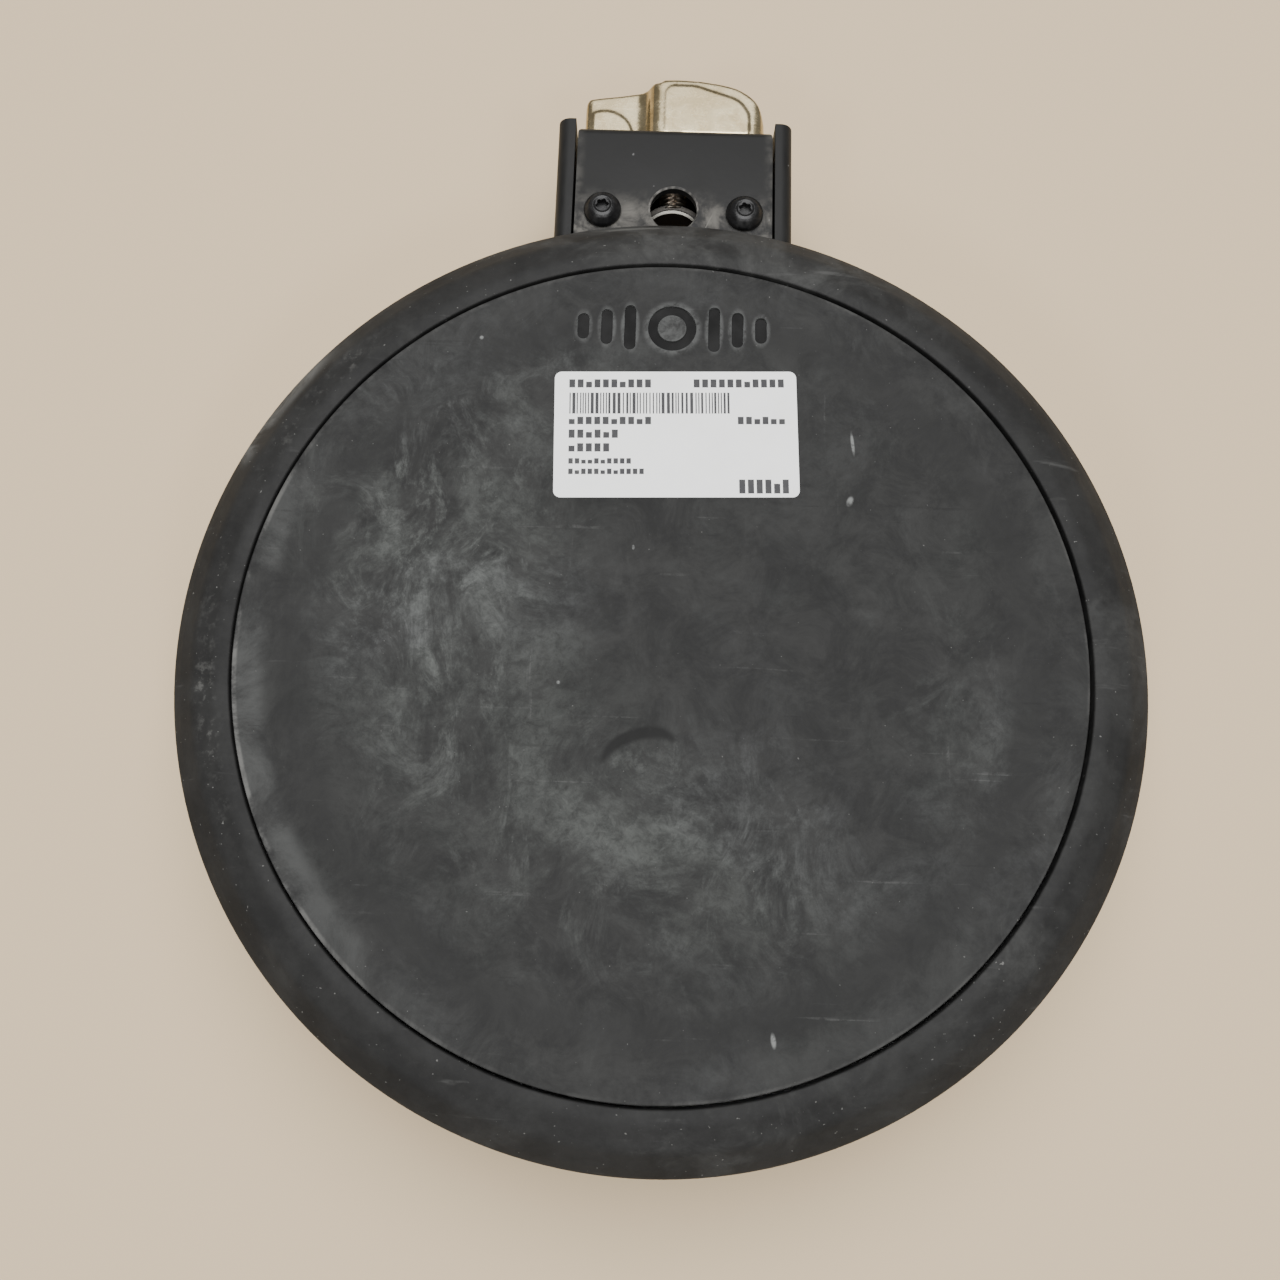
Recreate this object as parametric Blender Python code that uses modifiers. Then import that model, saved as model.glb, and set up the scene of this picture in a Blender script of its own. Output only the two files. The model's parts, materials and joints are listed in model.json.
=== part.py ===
"""Rubber-faced drum trigger pad with a clamp for a 10.5 mm mounting rod.

The origin is the centre of the case's flat underside. +Z is up through the striking face and
+Y points at the rod clamp. Dimensions below are millimetres and become metres when a mesh is made.
"""

import math

import bmesh
import bpy
from mathutils import Matrix, Vector

MM = 0.001
GAP = 0.3
MERGE = 0.00001

# Overall size
HEIGHT = 64.0
RIM_RADIUS = 107.5
WIDEST_Z = HEIGHT - 7.8
ROUND_STEPS = 64
SMALL_STEPS = 20

# Striking surface
HEAD_RADIUS = 92.7
HEAD_TOP_Z = WIDEST_Z + 7.1
HEAD_THICKNESS = 4.3
RIM_INNER_RADIUS = 93.4
CUSHION_RADIUS = 87.5
LABEL_SIZE = (55.1, 30.4)
LABEL_CENTRE = (1.8, 51.1)
LABEL_TURN = math.radians(1.8)
LABEL_THICKNESS = 0.15

# Case and head plate
FLANGE_RADIUS = 103.4
FLANGE_BOTTOM_Z = 51.7
FLANGE_TOP_Z = 53.2
HEAD_PLATE_Z = FLANGE_TOP_Z + GAP
HEAD_PLATE_THICKNESS = 1.2
FILM_Z = HEAD_PLATE_Z + HEAD_PLATE_THICKNESS + GAP
FILM_THICKNESS = 0.2
CASE_SCREW_CIRCLE = 97.9
CASE_SCREW_COUNT = 8

# Rod holder
SHEET = 2.5
HOLDER_TOP_Z = WIDEST_Z - 5.0
AXIS_Z = HOLDER_TOP_Z - 14.0
PLATE_HALF_WIDTH = 24.4
PLATE_START_Y = 68.3
PLATE_END_Y = 138.7
PLATE_BEND = 2.7
CHEEK_INSIDE = 25.0
CHEEK_OUTSIDE = 29.4
CHEEK_START_Y = 68.0
CHEEK_END_Y = 140.5
CHEEK_SHOULDER = 3.0
ROD_Y = 115.7
ROD_HOLE_RADIUS = 6.1
SCREW_X = 17.5
POST_Y = 114.6
SLEEVE_Y = 80.0
POST_RADIUS = 4.5
SCREW_CLEARANCE = 2.8

# Clamp
RING_Y = 114.4
RING_INSIDE = 7.0
RING_OUTSIDE = 9.1
RING_HEIGHT = 7.0
SHANK_RADIUS = 4.0
RUNNING_HOLE = 4.4
SHANK_END_Y = 151.2
WASHER_RADIUS = 8.5
WASHER_THICKNESS = 1.2
NUT_END_Y = 159.2
NUT_FOOT_RADIUS = 7.6
NUT_HUB_RADIUS = 5.9
NUT_FOOT = 1.2
WING_THICKNESS = 6.9
WING_OFFSET = 2.15
WING_START_X = -3.9
# Outlines of the wings from above: distance from the bolt's axis and from the nut's outer end
UPPER_WING = ((23.2, 13.2), (22.3, 8.8), (20.8, 5.9), (18.6, 3.8), (15.6, 2.1), (11.4, 1.0), (6.0, 0.2))
LOWER_WING = ((23.6, 8.0), (23.5, 4.8), (22.6, 3.6), (20.0, 3.0), (15.0, 2.3), (11.0, 1.6), (6.0, 0.9))

# Jack
JACK_X = 48.0
JACK_Z = 20.0
JACK_WALL_Y = 54.0
JACK_BORE_RADIUS = 3.4
BUSH_RADIUS = 4.5

# Circuit board
BOARD_LOW = (4.0, -2.0)
BOARD_HIGH = (38.0, 22.0)
BOARD_Z = 12.0
BOARD_THICKNESS = 1.6
BOARD_SCREWS = ((8.0, 10.0), (34.0, 10.0))
LEAD_HOLE = (89.7, 0.0)

# Material: base colour, roughness, metallic
FINISHES = {
    "rubber": ((0.045, 0.046, 0.048), 0.75, 0.0),
    "black_steel": ((0.028, 0.028, 0.030), 0.5, 0.2),
    "black_screw": ((0.020, 0.020, 0.022), 0.45, 0.6),
    "zinc_steel": ((0.60, 0.61, 0.62), 0.35, 1.0),
    "nickel": ((0.72, 0.66, 0.55), 0.3, 1.0),
    "case_plastic": ((0.030, 0.030, 0.032), 0.55, 0.0),
    "foam": ((0.10, 0.10, 0.11), 0.95, 0.0),
    "film": ((0.62, 0.52, 0.30), 0.35, 0.0),
    "brass": ((0.72, 0.52, 0.22), 0.35, 1.0),
    "ceramic": ((0.85, 0.84, 0.80), 0.4, 0.0),
    "board": ((0.05, 0.22, 0.09), 0.45, 0.0),
    "jack_plastic": ((0.020, 0.020, 0.020), 0.4, 0.0),
    "paper": ((0.86, 0.87, 0.88), 0.6, 0.0),
    "lead_red": ((0.55, 0.04, 0.03), 0.45, 0.0),
    "lead_black": ((0.02, 0.02, 0.02), 0.45, 0.0),
}

AXES = {
    "+Z": Matrix.Identity(4),
    "-Z": Matrix.Rotation(math.pi, 4, "X"),
    "+Y": Matrix.Rotation(-math.pi / 2, 4, "X"),
    "half turn about Y": Matrix.Rotation(math.pi, 4, "Y"),
}


# ---------------------------------------------------------------- scene helpers

def empty_scene():
    for obj in list(bpy.data.objects):
        bpy.data.objects.remove(obj)
    collections = []
    for name in ("trigger_pad", "cutters"):
        collection = bpy.data.collections.new(name)
        bpy.context.scene.collection.children.link(collection)
        collections.append(collection)
    return collections


def make_materials():
    made = {}
    for name, (colour, roughness, metallic) in FINISHES.items():
        material = bpy.data.materials.new(name)
        material.use_nodes = True
        shader = material.node_tree.nodes["Principled BSDF"]
        shader.inputs["Base Color"].default_value = (*colour, 1.0)
        shader.inputs["Roughness"].default_value = roughness
        shader.inputs["Metallic"].default_value = metallic
        made[name] = material
    return made


def add_object(name, mesh, finish=None, centre=(0, 0, 0), direction="+Z"):
    """Link a mesh as a part, or as a hidden cutter when it has no finish."""
    obj = bpy.data.objects.new(name, mesh)
    place = Matrix.Translation(Vector(centre) * MM) @ AXES[direction]
    obj.matrix_world = place
    if finish is None:
        CUTTERS.objects.link(obj)
        obj.hide_render = True
        obj.display_type = "WIRE"
    else:
        PARTS.objects.link(obj)
        mesh.materials.append(MATERIALS[finish])
        mesh.shade_smooth()
        mesh.set_sharp_from_angle(angle=math.radians(35))
    return obj


def combine(target, other, operation):
    modifier = target.modifiers.new(f"{operation.lower()} {other.name}", "BOOLEAN")
    modifier.operation = operation
    modifier.object = other


def bevel(obj, width):
    modifier = obj.modifiers.new("edges", "BEVEL")
    modifier.width = width * MM
    modifier.segments = 1
    modifier.limit_method = "ANGLE"
    modifier.angle_limit = math.radians(40)


# ---------------------------------------------------------------- shape helpers

def turned(name, profile, finish=None, closed=False, steps=SMALL_STEPS, **place):
    """Turn a profile of (radius, height), listed top to bottom on its outer side."""
    mesh = bpy.data.meshes.new(name)
    count = len(profile)
    edges = [(i, i + 1) for i in range(count - 1)]
    if closed:
        edges.append((count - 1, 0))
    mesh.from_pydata([(radius * MM, 0, height * MM) for radius, height in profile], edges, [])
    obj = add_object(name, mesh, finish, **place)
    screw = obj.modifiers.new("turn", "SCREW")
    screw.steps = steps
    screw.render_steps = steps
    screw.use_merge_vertices = True
    screw.merge_threshold = MERGE
    screw.use_smooth_shade = True
    return obj


def cylinder(name, radius, low, high, finish=None, steps=SMALL_STEPS, **place):
    profile = [(0, high), (radius, high), (radius, low), (0, low)]
    return turned(name, profile, finish, steps=steps, **place)


def tube(name, inside, outside, low, high, finish=None, steps=SMALL_STEPS, **place):
    profile = [(inside, high), (outside, high), (outside, low), (inside, low)]
    return turned(name, profile, finish, closed=True, steps=steps, **place)


def block(name, low, high, finish=None):
    mesh = bpy.data.meshes.new(name)
    shape = bmesh.new()
    bmesh.ops.create_cube(shape, size=1.0)
    size = Vector(high) - Vector(low)
    middle = (Vector(high) + Vector(low)) / 2
    bmesh.ops.scale(shape, vec=size * MM, verts=shape.verts)
    shape.to_mesh(mesh)
    shape.free()
    return add_object(name, mesh, finish, centre=middle)


def arc(centre, radius, start, end, count):
    """Points of an arc in the plane, with angles in degrees."""
    points = []
    for step in range(count + 1):
        angle = math.radians(start + (end - start) * step / count)
        points.append((centre[0] + radius * math.cos(angle), centre[1] + radius * math.sin(angle)))
    return points


def plate_from_outline(name, outline, thickness, finish=None, **place):
    """A flat outline in the local XY plane with its thickness centred on that plane."""
    curve = bpy.data.curves.new(name, "CURVE")
    curve.dimensions = "2D"
    curve.fill_mode = "BOTH"
    curve.extrude = thickness / 2 * MM
    spline = curve.splines.new("POLY")
    spline.points.add(len(outline) - 1)
    for point, (x, y) in zip(spline.points, outline):
        point.co = (x * MM, y * MM, 0, 1)
    spline.use_cyclic_u = True
    guide = bpy.data.objects.new(name, curve)
    CUTTERS.objects.link(guide)
    evaluated = guide.evaluated_get(bpy.context.evaluated_depsgraph_get())
    mesh = bpy.data.meshes.new_from_object(evaluated)
    bpy.data.objects.remove(guide)
    shape = bmesh.new()
    shape.from_mesh(mesh)
    bmesh.ops.remove_doubles(shape, verts=shape.verts, dist=MERGE)
    bmesh.ops.recalc_face_normals(shape, faces=shape.faces)
    shape.to_mesh(mesh)
    shape.free()
    mesh.name = name
    return add_object(name, mesh, finish, **place)


def cut_cylinders(target, name, radius, low, high, centres, direction="+Z", steps=SMALL_STEPS):
    """Cut a round hole at each centre."""
    for number, centre in enumerate(centres, 1):
        cutter = cylinder(f"{name}_{number}", radius, low, high, steps=steps,
                          centre=centre, direction=direction)
        combine(target, cutter, "DIFFERENCE")


def screw_circle():
    """Centres of the case screws, clear of the holder and of its recess."""
    places = []
    for number in range(CASE_SCREW_COUNT):
        angle = 2 * math.pi * (number + 0.5) / CASE_SCREW_COUNT
        places.append((CASE_SCREW_CIRCLE * math.cos(angle), CASE_SCREW_CIRCLE * math.sin(angle), 0))
    return places


def holder_places(y):
    return {"left": (-SCREW_X, y, 0), "right": (SCREW_X, y, 0)}


# ---------------------------------------------------------------- striking surface

def make_head():
    bottom = HEAD_TOP_Z - HEAD_THICKNESS
    profile = [(0, HEAD_TOP_Z - 0.2), (86.0, HEAD_TOP_Z - 0.2), (90.5, HEAD_TOP_Z),
               (HEAD_RADIUS - 0.6, HEAD_TOP_Z - 0.1), (HEAD_RADIUS, HEAD_TOP_Z - 0.7),
               (HEAD_RADIUS, bottom), (0, bottom)]
    turned("head_rubber", profile, "rubber", steps=ROUND_STEPS)
    cushion_top = bottom - GAP
    cylinder("head_cushion", CUSHION_RADIUS, FILM_Z, cushion_top, "foam", steps=48)


def make_rim():
    under = FILM_Z + 3 * FILM_THICKNESS + 2 * GAP + GAP
    hook_top = FLANGE_BOTTOM_Z - 0.4
    hook_inside = 101.6
    skirt_inside = FLANGE_RADIUS + 0.5
    profile = [(RIM_INNER_RADIUS, HEIGHT - 0.9), (RIM_INNER_RADIUS + 0.4, HEIGHT - 0.25),
               (RIM_INNER_RADIUS + 1.3, HEIGHT), (97.2, HEIGHT - 0.7), (101.0, HEIGHT - 2.3),
               (104.4, HEIGHT - 4.4), (106.6, HEIGHT - 6.2), (RIM_RADIUS, WIDEST_Z),
               (107.3, WIDEST_Z - 2.6), (106.6, hook_top - 1.0), (105.4, hook_top - 2.0),
               (hook_inside + 0.5, hook_top - 2.0), (hook_inside, hook_top - 1.5),
               (hook_inside, hook_top), (skirt_inside, hook_top), (skirt_inside, under),
               (RIM_INNER_RADIUS, under)]
    rim = turned("rim_rubber", profile, "rubber", closed=True, steps=ROUND_STEPS)
    half = CHEEK_OUTSIDE + 1.0
    notch = block("rim_notch", (-half, 90.0, 40.0), (half, 112.0, HOLDER_TOP_Z + 0.8))
    combine(rim, notch, "DIFFERENCE")


def make_rim_switch():
    low = FILM_Z
    for name, inside in (("rim_film_lower", 94.0), ("rim_film_spacer", 98.5), ("rim_film_upper", 94.0)):
        tube(name, inside, FLANGE_RADIUS - 0.2, low, low + FILM_THICKNESS, "film", steps=36)
        low += FILM_THICKNESS + GAP


def make_label():
    half_x, half_y = LABEL_SIZE[0] / 2, LABEL_SIZE[1] / 2
    radius = 1.5
    outline = []
    for sign_x, sign_y, start in ((1, 1, 0), (-1, 1, 90), (-1, -1, 180), (1, -1, 270)):
        centre = (sign_x * (half_x - radius), sign_y * (half_y - radius))
        outline += arc(centre, radius, start, start + 90, 4)
    height = HEAD_TOP_Z + GAP + LABEL_THICKNESS / 2
    label = plate_from_outline("price_label", outline, LABEL_THICKNESS, "paper",
                               centre=(*LABEL_CENTRE, height))
    label.rotation_euler.z = LABEL_TURN


# ---------------------------------------------------------------- case and sensor

def case_profile():
    inside = [(0, 2.5), (69.5, 2.5), (73.5, 3.4), (76.3, 6.6), (85.6, 29.0), (91.4, 49.6),
              (91.4, FLANGE_TOP_Z)]
    flange = [(FLANGE_RADIUS, FLANGE_TOP_Z), (FLANGE_RADIUS, FLANGE_BOTTOM_Z)]
    outside = [(94.0, FLANGE_BOTTOM_Z), (94.0, 49.4), (88.2, 28.4), (78.8, 5.4), (75.6, 1.4),
               (71.0, 0), (0, 0)]
    return inside + flange + outside


def recess_walls(case, name, low_x, high_x, back_y, roof_z, wall=2.5, roof=1.5):
    """A recess in the case's side, open outwards and downwards, with its own walls."""
    walls = block(f"{name}_walls", (low_x - wall, back_y - wall, -1.0),
                  (high_x + wall, 120.0, roof_z + roof))
    middle_of_shell = [(0, 80.0), (92.7, 80.0), (92.7, 49.5), (86.9, 28.7), (77.6, 6.0), (74.4, 2.4),
                       (70.3, 1.2), (0, 1.2)]
    envelope = turned(f"{name}_envelope", middle_of_shell, steps=ROUND_STEPS)
    combine(walls, envelope, "INTERSECT")
    combine(case, walls, "UNION")
    opening = block(f"{name}_opening", (low_x, back_y, -5.0), (high_x, 125.0, roof_z))
    combine(case, opening, "DIFFERENCE")


def make_case():
    case = turned("bottom_case", case_profile(), "case_plastic", steps=ROUND_STEPS)
    half = CHEEK_OUTSIDE + GAP
    recess_walls(case, "holder_recess", -half, half, CHEEK_START_Y - GAP, HOLDER_TOP_Z + GAP)
    recess_walls(case, "jack_recess", JACK_X - 11.5, JACK_X + 11.5, JACK_WALL_Y, 38.0)
    for number, (x, y) in enumerate(BOARD_SCREWS, 1):
        boss = cylinder(f"board_boss_{number}", 3.4, 1.2, BOARD_Z - GAP, centre=(x, y, 0))
        combine(case, boss, "UNION")
    cut_cylinders(case, "board_boss_hole", 1.7, 5.0, 20.0, [(x, y, 0) for x, y in BOARD_SCREWS], steps=12)
    cut_cylinders(case, "case_screw_hole", 1.9, 50.0, 56.0, screw_circle(), steps=10)
    cut_cylinders(case, "roof_hole", 2.8, 48.0, 56.0, holder_places(SLEEVE_Y).values(), steps=16)
    cut_cylinders(case, "jack_hole", BUSH_RADIUS + 0.4, 46.0, 60.0, [(JACK_X, 0, JACK_Z)], "+Y")


def make_head_plate():
    top = HEAD_PLATE_Z + HEAD_PLATE_THICKNESS
    plate = cylinder("head_plate", FLANGE_RADIUS - 0.2, HEAD_PLATE_Z, top, "zinc_steel", steps=ROUND_STEPS)
    cut_cylinders(plate, "plate_screw_hole", 1.9, 50.0, 60.0, screw_circle(), steps=10)
    cut_cylinders(plate, "plate_holder_hole", 2.8, 50.0, 60.0, holder_places(SLEEVE_Y).values(), steps=16)
    cut_cylinders(plate, "plate_lead_hole", 2.6, 50.0, 60.0, [(*LEAD_HOLE, 0)], steps=12)


def make_screw(name, head_radius, head_height, shank_radius, length, finish, dome=0.6, **place):
    """A round-headed screw whose head stands up from local zero and whose shank goes down."""
    profile = [(0, head_height), (head_radius * dome, head_height),
               (head_radius * 0.92, head_height * 0.62), (head_radius, head_height * 0.25),
               (head_radius, 0), (shank_radius, 0), (shank_radius, 0.6 - length),
               (shank_radius - 0.5, -length), (0, -length)]
    return turned(name, profile, finish, steps=10, **place)


def make_case_screws():
    under = FLANGE_BOTTOM_Z - GAP
    for number, (x, y, _) in enumerate(screw_circle(), 1):
        make_screw(f"case_screw_{number}", 2.7, 2.0, 1.6, 54.4 - under, "black_screw",
                   centre=(x, y, under), direction="-Z")


def make_piezo():
    layers = (("piezo_foam", 11.0, 2.2, "foam"), ("piezo_brass_disc", 13.5, 0.25, "brass"),
              ("piezo_ceramic", 10.0, 0.2, "ceramic"))
    top = HEAD_PLATE_Z - GAP
    for name, radius, thickness, finish in layers:
        cylinder(name, radius, top - thickness, top, finish, steps=32)
        top -= thickness + GAP


# ---------------------------------------------------------------- rod holder

def make_channel():
    """A deep U: a web below and a cheek at each side, whose outer top edges are rounded."""
    web_low = 2 * AXIS_Z - HOLDER_TOP_Z
    web_high = web_low + SHEET
    centre_x = CHEEK_OUTSIDE - CHEEK_SHOULDER
    right = arc((centre_x, HOLDER_TOP_Z - CHEEK_SHOULDER), CHEEK_SHOULDER, 90, 0, 5)
    right += arc((centre_x, web_low + CHEEK_SHOULDER), CHEEK_SHOULDER, 0, -90, 5)
    inner = [(-CHEEK_INSIDE, HOLDER_TOP_Z), (-CHEEK_INSIDE, web_high), (CHEEK_INSIDE, web_high),
             (CHEEK_INSIDE, HOLDER_TOP_Z)]
    left = [(-x, z) for x, z in reversed(right)]
    outline = inner + right + left
    length = CHEEK_END_Y - CHEEK_START_Y
    middle = (CHEEK_END_Y + CHEEK_START_Y) / 2
    flipped = [(x, -z) for x, z in reversed(outline)]
    channel = plate_from_outline("holder_channel", flipped, length, "black_steel",
                                 centre=(0, middle, 0), direction="+Y")
    nose = block("channel_nose", (-CHEEK_INSIDE, PLATE_END_Y, web_low - 5),
                 (CHEEK_INSIDE, CHEEK_END_Y + 5, web_high + 1))
    combine(channel, nose, "DIFFERENCE")
    web_cuts = [*holder_places(POST_Y).values(), *holder_places(SLEEVE_Y).values()]
    cut_cylinders(channel, "web_screw_hole", SCREW_CLEARANCE, web_low - 5, web_high + 5, web_cuts, steps=16)
    cut_cylinders(channel, "web_rod_hole", ROD_HOLE_RADIUS, web_low - 5, web_high + 5,
                  [(0, ROD_Y, 0)], steps=32)


def make_plate():
    """A plate over the channel, folded down at its outer end as far as the web."""
    foot_z = 2 * AXIS_Z - HOLDER_TOP_Z + SHEET + GAP
    fold = (PLATE_END_Y - PLATE_BEND, HOLDER_TOP_Z - PLATE_BEND)
    outline = [(PLATE_START_Y, HOLDER_TOP_Z)] + arc(fold, PLATE_BEND, 90, 0, 5)
    outline += [(PLATE_END_Y, foot_z), (PLATE_END_Y - SHEET, foot_z)]
    outline += arc(fold, PLATE_BEND - SHEET, 0, 90, 2) + [(PLATE_START_Y, HOLDER_TOP_Z - SHEET)]
    plate = plate_from_outline("holder_plate", outline, 2 * PLATE_HALF_WIDTH, "black_steel")
    plate.matrix_world = Matrix(((0, 0, 1, 0), (1, 0, 0, 0), (0, 1, 0, 0), (0, 0, 0, 1)))
    screw_cuts = [*holder_places(POST_Y).values(), *holder_places(SLEEVE_Y).values()]
    cut_cylinders(plate, "plate_post_hole", SCREW_CLEARANCE, 44, 56, screw_cuts, steps=16)
    cut_cylinders(plate, "plate_rod_hole", ROD_HOLE_RADIUS, 44, 56, [(0, ROD_Y, 0)], steps=32)
    cut_cylinders(plate, "plate_bolt_hole", RUNNING_HOLE, 130, 142, [(0, 0, AXIS_Z)], "+Y", steps=24)


def lobe_recess(name, radius, depth, centre):
    """A six-lobe socket cutter, its floor at the given depth below its centre."""
    outline = []
    for step in range(24):
        angle = 2 * math.pi * step / 24
        reach = radius * (1 + 0.14 * math.cos(6 * angle))
        outline.append((reach * math.cos(angle), reach * math.sin(angle)))
    return plate_from_outline(name, outline, 2 * depth, centre=centre)


def make_holder_screws():
    web_low = 2 * AXIS_Z - HOLDER_TOP_Z
    under_web = web_low - GAP
    low, high = web_low + SHEET + GAP, HOLDER_TOP_Z - SHEET - GAP
    for side, (x, y, _) in holder_places(POST_Y).items():
        seat = HOLDER_TOP_Z + GAP
        tube(f"post_{side}", 2.8, POST_RADIUS, low, high, "zinc_steel", centre=(x, y, 0))
        screw = make_screw(f"lobe_screw_{side}", 4.6, 2.7, 2.4, 12.0, "black_screw", centre=(x, y, seat))
        socket = lobe_recess(f"lobe_socket_{side}", 1.65, 1.5, (x, y, seat + 2.7))
        combine(screw, socket, "DIFFERENCE")
        make_screw(f"post_screw_{side}", 4.3, 2.6, 2.4, 12.0, "zinc_steel",
                   centre=(x, y, under_web), direction="-Z")
    for side, (x, y, _) in holder_places(SLEEVE_Y).items():
        tube(f"sleeve_{side}", 2.9, POST_RADIUS, low, high, "zinc_steel", centre=(x, y, 0))
        make_screw(f"holder_screw_{side}", 4.3, 2.6, 2.4, 54.4 - under_web, "zinc_steel",
                   centre=(x, y, under_web), direction="-Z")


# ---------------------------------------------------------------- clamp

def make_eye_bolt():
    half = RING_HEIGHT / 2
    soft = 0.7
    ring = [(RING_INSIDE, half - soft), (RING_INSIDE + soft, half), (RING_OUTSIDE - soft, half),
            (RING_OUTSIDE, half - soft), (RING_OUTSIDE, soft - half), (RING_OUTSIDE - soft, -half),
            (RING_INSIDE + soft, -half), (RING_INSIDE, soft - half)]
    bolt = turned("eye_bolt", ring, "nickel", closed=True, steps=36, centre=(0, RING_Y, AXIS_Z))
    root_y = RING_Y + (RING_INSIDE + RING_OUTSIDE) / 2
    profile = [(0, SHANK_END_Y), (SHANK_RADIUS - 0.7, SHANK_END_Y), (SHANK_RADIUS, SHANK_END_Y - 0.8),
               (SHANK_RADIUS, root_y + 4.5), (SHANK_RADIUS - 0.65, root_y + 3.8),
               (SHANK_RADIUS - 0.65, root_y), (0, root_y)]
    shank = turned("eye_bolt_shank", profile, steps=24, centre=(0, 0, AXIS_Z), direction="+Y")
    combine(bolt, shank, "UNION")


def make_washer():
    low = PLATE_END_Y + GAP
    tube("flat_washer", RUNNING_HOLE, WASHER_RADIUS, low, low + WASHER_THICKNESS, "zinc_steel",
         steps=24, centre=(0, 0, AXIS_Z), direction="+Y")


def wing_outline(corners, base_y):
    """One wing seen from above, in the hub's frame: square at the hub, rounded at its outer corner."""
    start_y = NUT_FOOT
    end_y = NUT_END_Y - base_y
    edge = [(x, end_y - back) for x, back in corners]
    return [(WING_START_X, start_y), (edge[0][0], start_y), *edge, (0.5, end_y),
            (WING_START_X + 0.9, end_y), (WING_START_X, end_y - 1.2)]


def make_wing_nut():
    """A cast nut whose wings lie side by side with the axis, one above it and one below."""
    base_y = PLATE_END_Y + 2 * GAP + WASHER_THICKNESS
    length = NUT_END_Y - base_y
    hub = [(0, length - 0.8), (NUT_HUB_RADIUS * 0.8, length - 1.2), (NUT_HUB_RADIUS, length - 4.0),
           (NUT_HUB_RADIUS, 4.0), (NUT_FOOT_RADIUS, NUT_FOOT), (NUT_FOOT_RADIUS, 0), (0, 0)]
    nut = turned("wing_nut", hub, "nickel", steps=22, centre=(0, base_y, AXIS_Z), direction="+Y")
    wings = (("upper_wing", UPPER_WING, WING_OFFSET, "+Z"),
             ("lower_wing", LOWER_WING, -WING_OFFSET, "half turn about Y"))
    for name, corners, rise, direction in wings:
        wing = plate_from_outline(name, wing_outline(corners, base_y), WING_THICKNESS,
                                  centre=(0, base_y, AXIS_Z + rise), direction=direction)
        bevel(wing, 1.4)
        combine(nut, wing, "UNION")
    bore_end = SHANK_END_Y + 4.5 - base_y
    bore = cylinder("nut_bore", RUNNING_HOLE, -5, bore_end, steps=24,
                    centre=(0, base_y, AXIS_Z), direction="+Y")
    combine(nut, bore, "DIFFERENCE")


# ---------------------------------------------------------------- jack, board and leads

def make_jack():
    front = JACK_WALL_Y - 2.5 - GAP
    rear = front - 24.2
    half = 7.0
    body = block("jack_body", (JACK_X - half, rear, JACK_Z - half), (JACK_X + half, front, JACK_Z + half),
                 "jack_plastic")
    seat = front - 4.5
    axis = (JACK_X, 0, JACK_Z)
    cut_cylinders(body, "jack_seat", BUSH_RADIUS + GAP, seat, front + 5, [axis], "+Y")
    cut_cylinders(body, "jack_bore", JACK_BORE_RADIUS, rear + 2, seat + 1, [axis], "+Y")
    tube("jack_bush", 3.3, BUSH_RADIUS, seat + GAP, JACK_WALL_Y + 6.0, "zinc_steel",
         centre=axis, direction="+Y")
    washer = JACK_WALL_Y + GAP
    tube("jack_washer", BUSH_RADIUS + 0.4, 6.6, washer, washer + 0.8, "zinc_steel",
         centre=axis, direction="+Y")
    nut = washer + 0.8 + GAP
    hexagon = cylinder("jack_nut", 6.4, nut, nut + 2.2, "zinc_steel", steps=6, centre=axis, direction="+Y")
    cut_cylinders(hexagon, "jack_nut_hole", BUSH_RADIUS + 0.4, nut - 1, nut + 4, [axis], "+Y")
    for name, y in (("jack_tip_spring", rear + 5.0), ("jack_sleeve_spring", rear + 14.0)):
        make_contact(body, name, y)


def make_contact(body, name, y):
    """A bent contact strip that drops through a slot in the jack's roof towards the bore."""
    roof = JACK_Z + 7.0
    slot = block(f"{name}_slot", (JACK_X - 1.6, y - 1.2, JACK_Z + 1.0), (JACK_X + 1.6, y + 1.2, roof + 1))
    combine(body, slot, "DIFFERENCE")
    strip = 0.4
    tip = JACK_Z + 2.9
    lug = roof + GAP
    outline = [(y - strip / 2, tip), (y + strip / 2, tip), (y + strip / 2, lug), (y + 4.0, lug),
               (y + 4.0, lug + strip), (y - strip / 2, lug + strip)]
    spring = plate_from_outline(name, outline, 2.2, "brass")
    spring.matrix_world = Matrix(((0, 0, 1, JACK_X * MM), (1, 0, 0, 0), (0, 1, 0, 0), (0, 0, 0, 1)))


def make_board():
    low, high = (*BOARD_LOW, BOARD_Z), (*BOARD_HIGH, BOARD_Z + BOARD_THICKNESS)
    board = block("trigger_board", low, high, "board")
    cut_cylinders(board, "board_hole", 1.8, BOARD_Z - 3, BOARD_Z + 5, [(x, y, 0) for x, y in BOARD_SCREWS],
                  steps=12)
    for number, (x, y) in enumerate(BOARD_SCREWS, 1):
        make_screw(f"board_screw_{number}", 2.7, 1.8, 1.3, 6.0, "zinc_steel",
                   centre=(x, y, BOARD_Z + BOARD_THICKNESS + GAP))


def smooth_route(points, per_span):
    """Catmull-Rom points through the route."""
    ends = [points[0], *points, points[-1]]
    route = []
    for index in range(len(points) - 1):
        p0, p1, p2, p3 = (Vector(p) for p in ends[index:index + 4])
        for step in range(per_span):
            t = step / per_span
            route.append(0.5 * (2 * p1 + (p2 - p0) * t + (2 * p0 - 5 * p1 + 4 * p2 - p3) * t * t
                                + (3 * p1 - p0 - 3 * p2 + p3) * t ** 3))
    route.append(Vector(points[-1]))
    return route


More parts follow.
